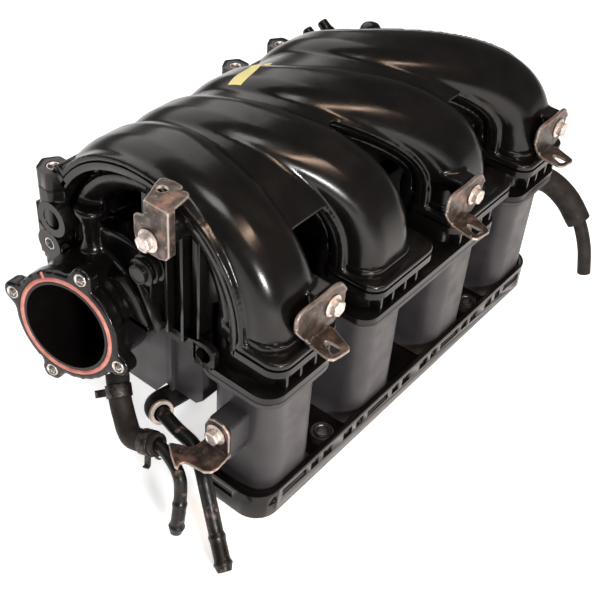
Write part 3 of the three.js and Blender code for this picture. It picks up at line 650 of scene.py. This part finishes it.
def circle(cu, cv, radius, count=48):
    return [(cu + radius * math.cos(2 * math.pi * k / count), cv + radius * math.sin(2 * math.pi * k / count))
            for k in range(count)]


# ---------- throttle frame ----------
ACROSS = (Vector((0, 1, 0)) - THROTTLE_AIM * THROTTLE_AIM.y).normalized()
THROTTLE_UP = ACROSS.cross(THROTTLE_AIM)
SEAL_R = 34
SEAL_KEY_ANGLE = 62
BORE_R = 30.4
THROTTLE_BOLTS = [math.radians(a) for a in (12, 105, 198, 285)]
BOLT_R = 42.5


def throttle_point(across, up, depth):
    return THROTTLE_FACE + ACROSS * across + THROTTLE_UP * up - THROTTLE_AIM * depth


REAR_BOSSES = [(-167, 157, 189), (37, 187, 169.5), (89, 186, 169.5)]
EAR = (152, 155)
EAR_INSERT = (157, 133)
CORNER_BOSS = Vector((-189.7, 48, 202.5))
PIPE_BOSS = Vector((-184, 1, 74.5))


# a waisted post by the throttle and a round capped one at the far end
DOME_POSTS = [
    ((-165, 128, 134), [(12, 0), (8.5, 5), (6, 13), (6.4, 25), (9.5, 33), (10.5, 36), (9, 38)]),
    ((147, 140, 134), [(11, 0), (10, 10), (9.4, 40), (9, 45), (7, 48.4), (3, 50)]),
]
NIPPLE_X = (122, 142)
PLENUM_ROOM = (-160, 140, 44, 150, 60, 130)
NECK_LENGTH, NECK_R, NECK_ROOT_R = 52, 37, 41
FACE_RING_R, FACE_RING_DEPTH = 39.8, 11
GROOVE_HALF = 1.9
INSERT_HOLE_R = 4.8
DUCT_HALF_X, DUCT_HALF_Y = 21.5, 22.5
END_WALL = (-163, -159.6)


def middle_shell():
    bm = bmesh.new()
    for n in range(4):
        skin(bm, [belly_ring(n, 183 - k * 3) for k in range(69)])
        skin(bm, [crown_ring(n, END_ANGLE - 3 - k * 3, -0.2) for k in range(18)])
        x = PORT_X[n]
        plate(bm, rounded(x - 26, x + 26, -26.5, 26, 15), "z", WELD_Z + 0.4, 146)
    plate(bm, dome_outline(), "x", -163, 146)
    bar(bm, throttle_point(0, 0, 6), throttle_point(0, 0, NECK_LENGTH), NECK_R, NECK_ROOT_R, 64)
    bar(bm, throttle_point(0, 0, 0), throttle_point(0, 0, FACE_RING_DEPTH), FACE_RING_R, None, 64)
    for t in THROTTLE_BOLTS:
        a, b = math.cos(t) * BOLT_R, math.sin(t) * BOLT_R
        bar(bm, throttle_point(a, b, 0), throttle_point(a, b, 12), 7.6)
        bar(bm, throttle_point(a * 0.86, b * 0.86, 0), throttle_point(a * 0.86, b * 0.86, 12), 9.6)
        bar(bm, throttle_point(a * 0.86, b * 0.86, 2), throttle_point(a * 0.8, b * 0.8, 34), 6, 3)
    bar(bm, (CORNER_BOSS.x, 48, 202.5), (-158, 48, 202.5), 8.6, 9.6)
    for place, profile in DOME_POSTS:
        turned(bm, place, (0, 0, 1), profile)
    bar(bm, (-180, 96, 82), (-192, 81.7, 67.7), 4.6, 4.2)
    for x, y, z in REAR_BOSSES:
        bar(bm, (x, y, z - 40), (x, y, z - 14), 7)
    for x in NIPPLE_X:
        bar(bm, (x, 150, 143), (x, 186, 171), 6, 4.6)
        bar(bm, (x, 176, 162), (x, 179, 165), 6.4)
    # a web well below the rims closes the pocket between the third and fourth runners
    strip(bm, 174, 108, ARCH_R - 24, ARCH_R - 20,
          lambda a: wall_at(2, a, 1) - 3, lambda a: wall_at(3, a, -1) + 3)
    body = finish_mesh(bm, "middle_shell_skin")
    melt(body, 1.6, 4)
    carve(
        body,
        cutter(block, *PLENUM_ROOM),
        cutter(bar, throttle_point(0, 0, -4), throttle_point(0, 0, 62), BORE_R, None, 72),
        cutter(turned, throttle_point(0, 0, 6.2), THROTTLE_AIM,
               [(SEAL_R - GROOVE_HALF, 0), (SEAL_R + GROOVE_HALF, 0),
                (SEAL_R + GROOVE_HALF, 12), (SEAL_R - GROOVE_HALF, 12)], 72, True),
    )
    for t in THROTTLE_BOLTS:
        u, v = math.cos(t) * BOLT_R, math.sin(t) * BOLT_R
        carve(body, cutter(bar, throttle_point(u, v, -4), throttle_point(u, v, 10), INSERT_HOLE_R))
    for x in PORT_X:
        carve(body, cutter(plate, rounded(x - 22, x + 22, -22.5, 22, 12), "z", WELD_Z - 3, 150))
    shade(body, 50)
    return dress(body, "nylon_gloss", replaces=["middle_shell"])


def dome_outline():
    points = [(45, 112.5), (182, 112.5), (182, 122), (150, 140)]
    for k in range(15):
        t = 0.5 + (math.pi - 0.65) * k / 14
        points.append((104 + 48 * math.cos(t), 112 + 48 * math.sin(t)))
    points.append((45, 118))
    return points


def weld_plans():
    return [rounded(-178, -113, WELD_FRONT, 27.8, 14), rounded(-83, 79, WELD_FRONT, 27.8, 12),
            rounded(104, 172, WELD_FRONT, 27.8, 14)]


def middle_shell_ribs():
    """The thin crisp parts of the middle shell: rims, lips, ribs, ears and bosses."""
    bm = bmesh.new()
    rims(bm, ARCH_R - RIM, ARCH_R - HALF_JOINT, 190, END_ANGLE - LIP_DEPTH)
    strip(bm, END_ANGLE, END_ANGLE - LIP_DEPTH, ARCH_R - 3, ARCH_R + 9, lambda a: RIM_LEFT,
          lambda a: wall_at(3, END_ANGLE, 1) + LAST_RIM)
    for n, x in enumerate(PORT_X):
        plate(bm, lip_outline(n), "z", LIP_Z - 5, LIP_Z - HALF_JOINT)
        for dx in (-19, -6, 8, 21):
            block(bm, x + dx - 1, x + dx + 1, -31.5, -20, WELD_Z + 2, LIP_Z - 3)
    for plan in weld_plans():
        plate(bm, plan, "z", WELD_TOP, WELD_Z + WELD_RIM)
    plate(bm, rounded(-168, 151, 28.4, 185, 14), "z", WELD_TOP, WELD_Z + WELD_RIM)
    block(bm, -160, 140, 22, 34, WELD_TOP, WELD_Z + WELD_RIM)
    # the end wall under the near runner, with its ribs
    arc = [(ARCH_Y + 75 * math.cos(t), ARCH_Z + 75 * math.sin(t))
           for t in [2.85 - 1.35 * k / 10 for k in range(11)]]
    plate(bm, [(28.4, 112.5), (28.4, 150), *arc, (84, 112.5)], "x", *END_WALL)
    for y in (30.5, 44, 57, 70):
        top = ARCH_Z + math.sqrt(74 ** 2 - (y - ARCH_Y) ** 2)
        block(bm, -171, -160, y - 1.1, y + 1.1, WELD_Z + 2, top)
    plate(bm, [(57, 168), (70, 176), (70, 178), (57, 170)], "x", -171, -160)
    # eyelet by the near leg
    ring_wall(bm, rounded(11, 29, 113, 132, 7, 11), circle(20, 123, 5.4), "x", -178, -173.6)
    block(bm, -178, -163, 26, 28.2, WELD_TOP, 128)
    # a stub with three discs, and its broad foot
    stub = [(3.2, 0.4), (5.2, 0.4), (5.6, 0), (6.4, 0), (6.4, 3)]
    stub += [(9.4, 3.2), (9.4, 4.6), (6.8, 4.8), (6.8, 7)]
    stub += [(10.2, 7.2), (10.2, 8.8), (7.2, 9), (7.2, 11.6)]
    stub += [(11.2, 11.8), (11.2, 13.6), (8, 13.8), (8, 18), (12, 24)]
    turned(bm, (-182, 70, 159), (1, 0, 0), stub, 48)
    # ear with the sensor hole
    turned(bm, (-177, *EAR), (1, 0, 0), [(7.4, 0), (12.6, 0), (12.6, 14), (7.4, 14)], 48, closed=True)
    turned(bm, (-163, *EAR), (1, 0, 0), [(14, -1), (14, 1)], 48)
    turned(bm, (-177, *EAR_INSERT), (1, 0, 0), [(4.8, 0), (10.5, 0), (10.5, 14), (4.8, 14)], 48, closed=True)
    plate(bm, [(144.5, 134), (148, 127), (152, 125), (166, 141), (166, 147)], "x", -176.4, -163)
    block(bm, -173, -160, 166, 171, 118, 158)
    # upright bosses
    for x, y, z in REAR_BOSSES:
        ring_wall(bm, ngon(x, y, 9.6, 6, phase=0.5), circle(x, y, INSERT_HOLE_R), "z", z - 14, z)
        plate(bm, ngon(x, y, 9.6, 6, phase=0.5), "z", z - 40, z - 12)
        block(bm, x - 2, x + 2, min(y, 146), y, z - 40, z - 14)
    # gussets beside the throttle neck
    plate(bm, [(66, 112.5), (100, 112.5), (100, 138), (86, 146), (74, 132)], "x", -178, -175)
    plate(bm, [(62, 112.5), (66, 112.5), (82, 148), (78, 149)], "x", -175, -160)
    block(bm, -178, -160, 66, 100, 112.5, 116)
    ribs = finish_mesh(bm, "middle_shell_ribs")
    bevel(ribs, 0.8, 2)
    apply_modifiers(ribs)
    shade(ribs, 35)
    return dress(ribs, "nylon_gloss")


FLANGE = (-178, 174, -30, 34)
FLANGE_H, FLANGE_FLOOR, FLANGE_RIM = 21.5, 10, 3.6
LIMITERS = [(-95, -16), (95, -16), (-95, 21), (0, 21), (95, 21)]


def flange_plan(inset):
    x0, x1, y0, y1 = FLANGE
    return rounded(x0 + inset, x1 - inset, y0 + inset, y1 - inset, 18 - inset, 10)


def head_flange():
    bm = bmesh.new()
    skin(bm, [
        [(x, y, z) for x, y in flange_plan(inset)]
        for inset, z in ((0, 0), (0, FLANGE_H), (FLANGE_RIM, FLANGE_H), (FLANGE_RIM, FLANGE_FLOOR))
    ])
    flange = finish_mesh(bm, "head_flange")
    ducts, pockets = bmesh.new(), bmesh.new()
    for x in PORT_X:
        plate(ducts, rounded(x - 21.5, x + 21.5, -17, 17, 9), "z", -2, 30)
        outer = rounded(x - 28, x + 28, -23, 23, 13)
        inner = rounded(x - 24.4, x + 24.4, -19.4, 19.4, 10)
        ring_wall(ducts, outer, inner, "z", -2, 2.6)
        for dx, half, tall in ((0, 12.5, 3.2), (-22, 4, 3.6), (22, 4.2, 3.6)):
            block(pockets, x + dx - half, x + dx + half, -32, -28.2, 14 - tall, 14 + tall)
        for dx in (-36, 36):
            block(pockets, x + dx - 5, x + dx + 5, -32, -28.2, 9.5, 17.5)
    block(pockets, FLANGE[0] - 2, FLANGE[0] + 1.8, -6, 20, 10.5, 17)
    for x, y in LIMITERS:
        bar(ducts, (x, y, -2), (x, y, 14), 6.3)
    carve(flange, finish_mesh(ducts, "flange_ducts"), finish_mesh(pockets, "flange_pockets"))
    bevel(flange, 0.7, 2)
    apply_modifiers(flange)
    shade(flange, 35)
    return dress(flange, "nylon_gloss")


def legs():
    """The four rising ducts, with their feet, the limiter posts and the lower weld rims."""
    bm = bmesh.new()
    flare = [(4.2, 10), (2.6, 11.2), (1.4, 12.8), (0.6, 14.8), (0.15, 17.5), (0, 21)]
    for x in PORT_X:
        rings = [[(u, v, z) for u, v in rounded(x - 24.7 - g, x + 24.7 + g, -26 - g, 26 + g, 14, 12)]
                 for g, z in [*flare, (0, 104), (0.8, 106)]]
        rings.append([(u, v, 111.7) for u, v in rounded(x - 25.5, x + 25.5, -26.8, 26.8, 14, 12)])
        inner = rounded(x - DUCT_HALF_X, x + DUCT_HALF_X, -DUCT_HALF_Y, DUCT_HALF_Y, 11, 12)
        rings += [[(u, v, z) for u, v in inner] for z in (111.7, 8.6)]
        skin(bm, rings, closed=True)
    for x, y in LIMITERS:
        post = [(6.3, 0), (10, 0), (8.8, 1.4), (8.3, 6.4), (6.3, 6.4)]
        turned(bm, (x, y, 9), (0, 0, 1), post, 40, closed=True)
    for plan in weld_plans():
        plate(bm, plan, "z", WELD_Z - WELD_RIM, WELD_UNDER)
    plate(bm, rounded(-9, 9, 60, 84, 2.5, 4), "x", PIPE_BOSS.x, -160)
    block(bm, -182, -160, -6.5, -4.5, 52, 62)
    block(bm, -182, -160, 4.5, 6.5, 52, 62)
    bar(bm, (158, 8.7, 98.8), (180, -18, 94.6), 2.7, 2.4)
    piece = finish_mesh(bm, "leg_shell_ducts")
    bevel(piece, 0.8, 2)
    apply_modifiers(piece)
    shade(piece, 35)
    return dress(piece, "nylon_satin", replaces=["leg_shell"])


# ---------- small turned and round pieces ----------
def insert(name, face, aim, depth=10.0):
    """A threaded insert: its end face, a chamfer and grooves for the thread."""
    bm = bmesh.new()
    profile = [(3.7, 0.35), (4.3, 0.3), (4.7, 0.7), (4.7, depth), (2.95, depth)]
    turns = 5
    for k in range(turns):
        z = depth - (depth - 1.6) * k / turns
        profile += [(2.9, z - 0.3), (2.5, z - 0.9)]
    profile.append((2.95, 1.0))
    turned(bm, face, aim, profile, 36, closed=True)
    piece = finish_mesh(bm, name + "_turned")
    shade(piece, 30)
    dress(piece, "insert_brass", replaces=[name])


def bolt(name, seat, aim, length=14.0):
    """A hexagon bolt with its washer flange, dished and chamfered head."""
    bm = bmesh.new()
    seat, aim = Vector(seat), Vector(aim).normalized()
    turned(bm, seat, -aim, [(6.6, 0.3), (7.3, 0.5), (7.3, 1.0), (5.4, 1.9)], 40)
    a, b = frame_of(aim)
    def hexagon(radius, height, count=48):
        return [seat - aim * height + (a * u + b * v)
                for u, v in ngon(0, 0, radius, 6, count, phase=0.35)]
    skin(bm, [hexagon(4.9, 1.2), hexagon(4.9, 5.2), hexagon(4.5, 5.8), hexagon(3.4, 6.0), hexagon(3.1, 5.6),
              hexagon(0.4, 5.5)])
    turned(bm, seat, aim, [(2.6, -0.5), (2.6, length - 1), (2.0, length)], 24)
    piece = finish_mesh(bm, name + "_head")
    shade(piece, 28)
    dress(piece, "bolt_zinc", replaces=[name])


def ring_tube(bm, path, up, radius, count=14, flat=1.0):
    """A closed cord of round section along a closed path that lies square to up."""
    rings = []
    size = len(path)
    for n, point in enumerate(path):
        ahead = (path[(n + 1) % size] - path[n - 1]).normalized()
        side = ahead.cross(up).normalized()
        rings.append([point + side * radius * math.cos(t) + up * radius * flat * math.sin(t)
                      for t in [2 * math.pi * k / count for k in range(count)]])
    skin(bm, rings, closed=True)


def seals():
    bm = bmesh.new()
    ring_tube(bm, [throttle_point(SEAL_R * math.cos(t), SEAL_R * math.sin(t), 0.9)
                   for t in [2 * math.pi * k / 96 for k in range(96)]], THROTTLE_AIM, 1.7)
    t = math.radians(SEAL_KEY_ANGLE)
    bar(bm, throttle_point(SEAL_R * math.cos(t), SEAL_R * math.sin(t), 0.6),
        throttle_point((SEAL_R + 5.2) * math.cos(t), (SEAL_R + 5.2) * math.sin(t), 0.6), 1.3, 1.1, 16)
    piece = finish_mesh(bm, "throttle_seal_ring")
    shade(piece, 60)
    dress(piece, "silicone", replaces=["throttle_seal"])
    for n, x in enumerate(PORT_X):
        bm = bmesh.new()
        path = [Vector((u, v, 1.5)) for u, v in rounded(x - 26.2, x + 26.2, -21.2, 21.2, 11.5, 8)]
        ring_tube(bm, path, Vector((0, 0, 1)), 1.3, flat=1.05)
        piece = finish_mesh(bm, "port_seal_%d_ring" % (n + 1))
        shade(piece, 60)
        dress(piece, "silicone", replaces=["port_seal_%d" % (n + 1)])


def limiters():
    profile = [(4.4, 1), (4.9, 0.4), (5.7, 0.4), (6.2, 0.9)]
    profile += [(6.2, 15.3), (5.8, 15.8), (4.9, 15.8), (4.4, 15.2)]
    for n, (x, y) in enumerate(LIMITERS):
        bm = bmesh.new()
        turned(bm, (x, y, 0), (0, 0, 1), profile, 40, closed=True)
        piece = finish_mesh(bm, "flange_limiter_%d_turned" % (n + 1))
        shade(piece, 30)
        dress(piece, "limiter_steel", replaces=["flange_limiter_%d" % (n + 1)])


# ---------- stamped brackets ----------
SHEET = 2.0
SEAT_GAP = 0.3
BOLT_HOLE_R = 3.6


def stamped(name, build, hole_list, voxel=0.62):
    """Pressed sheet: flat plates fused with rounded bends, then drilled."""
    bm = bmesh.new()
    build(bm)
    piece = finish_mesh(bm, name + "_pressed")
    melt(piece, voxel, 4)
    for start, end, radius in hole_list:
        carve(piece, cutter(bar, start, end, radius))
    shade(piece, 40)
    dress(piece, "bracket_steel", replaces=[name])


def harness_bracket(n, x):
    y1 = SEAT_Y - 0.4
    y0 = y1 - SHEET

    def build(bm):
        wall = [(-22, 141.6), (3, 141.6), (9, 146), (12.6, 152), (13, 160), (11, 166), (6, 170),
                (-2, 171), (-31, 170.4), (-34, 168), (-35, 163), (-34, 157), (-29, 150)]
        plate(bm, [(x + u, v) for u, v in wall], "y", y0, y1)
        # the ear reaches forward and ends in a small three-cornered window
        outer = [(-23, SHEET), (-24.6, -9), (-25.5, -18), (-23.5, -20.6), (-17, -21.8),
                 (-11, -22.4), (-8.4, -20.4), (-5, -12), (-2, -5), (-2, SHEET)]
        inner = [(-15.4, -7), (-16.6, -9), (-19.6, -15.5), (-20, -17), (-18, -18),
                 (-15, -18.4), (-13.6, -17.6), (-13.6, -12), (-13.8, -8.6), (-14.4, -7)]
        ring_wall(bm, [(x + u, y0 + v) for u, v in outer], [(x + u, y0 + v) for u, v in inner], "z",
                  141, 141 + SHEET)
        # rolled bead along the top, and a stiffening rib between wall and ear
        bead_y = y0 + 0.4
        bead = [(-34, 160), (-33, 168.6), (-12, 170.2), (5, 170), (12, 162)]
        hose(bm, [(x + u, bead_y, v) for u, v in bead], 1.5, step=2, count=10)
        rib = [(x - 24, bead_y, 146), (x - 22.4, y0 - 1.2, 142.6), (x - 23.4, y0 - 16, 142.2)]
        hose(bm, rib, 1.3, step=2, count=10)
    stamped("harness_bracket_%d" % n, build,
            [((x, y0 - 3, BRACKET_Z), (x, y1 + 3, BRACKET_Z), BOLT_HOLE_R)])


def corner_bracket():
    x1 = CORNER_BOSS.x - SEAT_GAP
    x0 = x1 - SHEET

    def build(bm):
        side = [(33, 198), (35, 194.6), (40, 192.8), (50, 192.6), (56, 193.6), (59, 197), (60, 204),
                (60, 213.6), (58.4, 215.6), (53, 217), (51.5, 219), (51.5, 227), (33, 227)]
        plate(bm, side, "x", x0, x1)
        top = [(x0, 33.2), (-180, 35), (-171.6, 36.6), (-169.8, 38.6), (-169.8, 41.4), (-172, 43.2),
               (-167.4, 45.4), (-167, 52), (-168.4, 58), (-171, 60), (-176, 58.4), (-183, 55), (x0, 51.5)]
        plate(bm, top, "z", 225.8, 227.8)
        block(bm, x0, x0 + 6, 33, 35, 197, 227)
    stamped("corner_bracket", build, [
        ((x0 - 3, 48, 202.5), (x1 + 3, 48, 202.5), BOLT_HOLE_R),
        ((-177.5, 51.4, 222), (-177.5, 51.4, 231), 3.4),
    ])


def pipe_bracket():
    x1 = PIPE_BOSS.x - SEAT_GAP
    x0 = x1 - SHEET

    def build(bm):
        wall = [(-9, 60.6), (11, 60.6), (11, 76), (8, 83), (4, 85), (-4, 85), (-8, 82), (-9, 78)]
        plate(bm, wall, "x", x0, x1)
        shelf = [(x1, -10), (-198, -11.5), (-203, -10.5), (-206, -7), (-207, 1), (-208, 7), (-211, 8.4),
                 (-214.5, 6.6), (-214.8, 9), (-210, 17), (-204, 25), (-202, 24.5), (-199, 19),
                 (-197, 13.5), (-194, 11.6), (x1, 11)]
        plate(bm, shelf, "z", 60.4, 62.4)
    stamped("pipe_bracket", build, [((x0 - 3, 1, 74.5), (x1 + 3, 1, 74.5), BOLT_HOLE_R)])


# ---------- pipes, hoses and clamps ----------
PIPE_A = [(-205, 44, 50.6), (-204, 34, 54), (-207, 20, 54), (-211, 9, 50), (-213, 6, 40),
          (-218, 3, 26), (-222, 2, 11)]
PIPE_B = [(-181.8, 57.2, 53.2), (-183.5, 51, 55), (-187, 34, 54.8), (-190, 16, 54.6), (-199, 1, 52),
          (-204, -8, 42), (-211, -22, 22), (-221, -39, 6.5)]
HOSE_A = [(-189, 85.3, 71.3), (-194.3, 79, 64.6), (-200, 69, 53), (-206, 56, 47.5), (-205, 45, 50),
          (-204, 34, 54)]
HOSE_B = [(-183.5, 51, 55), (-181.5, 58, 52.8), (-172, 64, 47), (-158, 63.5, 44.6), (-128, 60.5, 44.8),
          (-112.5, 60, 45)]
HOSE_A_CLAMPS = (0.16, 0.88)
HOSE_B_CLAMP = 0.93
VENT = [(177, -14, 95.2), (183.5, -25, 92), (187, -41, 82), (188, -56, 66), (188, -66.5, 45), (187, -73, 22)]


def pipe(name, points, radius):
    bm = bmesh.new()
    path = smooth_path(points, 2.0)
    length = sum((b - a).length for a, b in zip(path, path[1:]))

    def swell(t):
        # from the free end: a rounded lip, a rolled bead, and a ridge where the thicker sleeve starts
        d = (1 - t) * length
        bead = 0.22 * math.exp(-((d - 5) / 1.5) ** 2)
        lip = -0.14 * math.exp(-(d / 1.3) ** 2)
        ridge = 0.17 * math.exp(-((d - 22) / 1.4) ** 2)
        sleeve = 0.07 * smooth((22 - d) / 2)
        return 1 + bead + lip + ridge + sleeve
    hose(bm, points, radius, radius - 1, 1.0, 28, swell)
    piece = finish_mesh(bm, name + "_bent")
    shade(piece, 50)
    dress(piece, "pipe_paint", replaces=[name])


def rubber_hose(name, points, radius, bore, clamps=()):
    """A hose that swells over its spigots and is drawn in under each clamp."""
    bm = bmesh.new()

    def swell(t):
        ends = 0.03 * (math.exp(-(t / 0.1) ** 2) + math.exp(-((1 - t) / 0.1) ** 2))
        squeeze = sum(0.05 * math.exp(-((t - c) / 0.045) ** 2) for c in clamps)
        return 1 + ends - squeeze + 0.006 * math.sin(40 * t) - 0.02
    hose(bm, points, radius, bore, 1.6, 32, swell)
    piece = finish_mesh(bm, name + "_rubber")
    shade(piece, 50)
    dress(piece, "hose_rubber", replaces=[name])


def clamp(name, points, t, radius, tang_way):
    """A spring band round a hose, with two folded tangs of unlike width."""
    frames = carry(smooth_path(points, 1.0))
    centre, aim, _, _ = frames[round(t * (len(frames) - 1))]
    out = Vector(tang_way)
    out = (out - aim * out.dot(aim)).normalized()
    across = out.cross(aim)
    bm = bmesh.new()
    inner, outer = radius + 0.35, radius + 1.35
    edge = outer - 0.2
    band = [(inner, -4.4), (edge, -4.4), (outer, -4.1), (outer, 4.1), (edge, 4.4), (inner, 4.4)]
    turned(bm, centre, aim, band, 56, closed=True)
    for way in (-1, 1):
        root = centre + out * (radius + 0.8) + across * way * 3.0
        tip = root + out * 6.2 + across * way * 1.6
        half = aim * (2.6 if way > 0 else 1.4)
        thick = across * 0.5
        skin(bm, [[root + half + thick, root - half + thick, root - half - thick, root + half - thick],
                  [tip + half + thick, tip - half + thick, tip - half - thick, tip + half - thick]])
        fold = tip + across * way * 2.2 + out * 0.6
        up = out * 0.5
        skin(bm, [[tip + half + up, tip - half + up, tip - half - up, tip + half - up],
                  [fold + half + up, fold - half + up, fold - half - up, fold + half - up]])
    piece = finish_mesh(bm, name + "_band")
    bevel(piece, 0.25, 2)
    apply_modifiers(piece)
    shade(piece, 35)
    dress(piece, "clamp_steel", replaces=[name])


def ferrule():
    """The worn steel ring at the open end of the lower hose."""
    start, ahead = Vector(HOSE_B[0]), Vector(HOSE_B[1])
    bm = bmesh.new()
    profile = [(6.1, -0.7), (8.2, -0.7), (8.75, -0.2), (8.75, 1.6), (8.3, 2.2), (6.1, 0.6)]
    turned(bm, start, ahead - start, profile, 48, closed=True)
    ring = finish_mesh(bm, "hose_b_ferrule")
    shade(ring, 30)
    dress(ring, "clamp_steel", "bracket_steel")


def vent_hose():
    """The loose hose at the far end, in its thicker sleeve."""
    bm = bmesh.new()
    hose(bm, VENT, 5.5, 3.4, 2.0, 32)
    cord = finish_mesh(bm, "vent_hose_cord")
    shade(cord, 50)
    dress(cord, "hose_rubber", replaces=["vent_hose"])
    bm = bmesh.new()
    hose(bm, VENT[:4], 10, 5.9, 1.6, 36,
         lambda t: 0.97 + 0.03 * smooth(t / 0.1) * smooth((1 - t) / 0.06))
    sleeve = finish_mesh(bm, "vent_hose_sleeve_rubber")
    shade(sleeve, 50)
    dress(sleeve, "hose_rubber", replaces=["vent_hose_sleeve"])
    path = smooth_path(VENT, 3.0)


MARK_HALF = 4.7


def paint_mark(cover):
    """A brushed inspection mark that lies on the third runner's crown."""
    graph = bpy.context.evaluated_depsgraph_get()
    tree = BVHTree.FromObject(cover, graph)
    bm = bmesh.new()
    path = smooth_path([(-60.5, 103, 0), (-50, 104, 0), (-40, 106, 0), (-28, 109.5, 0), (-15, 113, 0)], 1.2)
    rows = []
    for t, (point, ahead, _, _) in zip([n / (len(path) - 1) for n in range(len(path))], carry(path)):
        side = Vector((-ahead.y, ahead.x, 0))
        half = MARK_HALF * (0.62 + 0.45 * smooth(1 - t)) + 0.35 * math.sin(9 * t)
        row = []
        for k in range(9):
            spot = (point + side * half * (k / 4 - 1)) * MM
            hit, normal, _, _ = tree.ray_cast(Vector((spot.x, spot.y, 0.4)), Vector((0, 0, -1)))
            row.append(bm.verts.new((hit + normal * 0.00015) / MM))
        rows.append(row)
    for a, b in zip(rows, rows[1:]):
        for k in range(len(a) - 1):
            bm.faces.new((a[k], a[k + 1], b[k + 1], b[k]))
    bmesh.ops.solidify(bm, geom=bm.faces[:], thickness=0.12)
    mark = finish_mesh(bm, "paint_mark")
    shade(mark, 60)
    dress(mark, "silicone", "mark_paint")


# ---------- build ----------
make_materials()
make_camera()
vent_hose()
make_stage()
cover = runner_cover()
middle_shell()
middle_shell_ribs()
head_flange()
legs()
seals()
limiters()
for n, t in enumerate(THROTTLE_BOLTS):
    place = throttle_point(math.cos(t) * BOLT_R, math.sin(t) * BOLT_R, -SEAT_GAP)
    insert("throttle_insert_%d" % (n + 1), place, -THROTTLE_AIM)
for n, place in enumerate(REAR_BOSSES):
    insert("rear_boss_insert_%d" % (n + 1), place, (0, 0, -1), 11)
insert("sensor_insert", (-177, *EAR_INSERT), (1, 0, 0))
for n, x in enumerate(BRACKET_X):
    harness_bracket(n + 1, x)
    bolt("harness_bolt_%d" % (n + 1), (x, SEAT_Y - SEAT_GAP - SHEET, BRACKET_Z), (0, 1, 0))
    insert("bracket_insert_%d" % (n + 1), (x, SEAT_Y, BRACKET_Z), (0, 1, 0), 13)
corner_bracket()
bolt("corner_bolt", CORNER_BOSS - Vector((SEAT_GAP + SHEET, 0, 0)), (1, 0, 0))
insert("corner_insert", CORNER_BOSS, (1, 0, 0), 13)
pipe_bracket()
bolt("pipe_bracket_bolt", PIPE_BOSS - Vector((SEAT_GAP + SHEET, 0, 0)), (1, 0, 0), 11)
insert("pipe_bracket_insert", PIPE_BOSS, (1, 0, 0), 11)
pipe("coolant_pipe_a", PIPE_A, 4.2)
pipe("coolant_pipe_b", PIPE_B, 4.9)
rubber_hose("coolant_hose_a", HOSE_A, 7.7, 5.1, HOSE_A_CLAMPS)
rubber_hose("coolant_hose_b", HOSE_B, 8.2, 5.7, (HOSE_B_CLAMP,))
clamp("hose_a_clamp_1", HOSE_A, HOSE_A_CLAMPS[0], 7.3, (-0.2, 0.8, -0.5))
clamp("hose_a_clamp_2", HOSE_A, HOSE_A_CLAMPS[1], 7.3, (-0.2, 0.3, -1))
clamp("hose_b_clamp", HOSE_B, HOSE_B_CLAMP, 7.8, (0, -0.4, -1))
ferrule()
paint_mark(cover)

tray = bpy.data.objects["plenum_tray"]
tray.data.materials.clear()
tray.data.materials.append(MATERIALS["nylon_satin"])
bevel(tray, 1.5, 3)
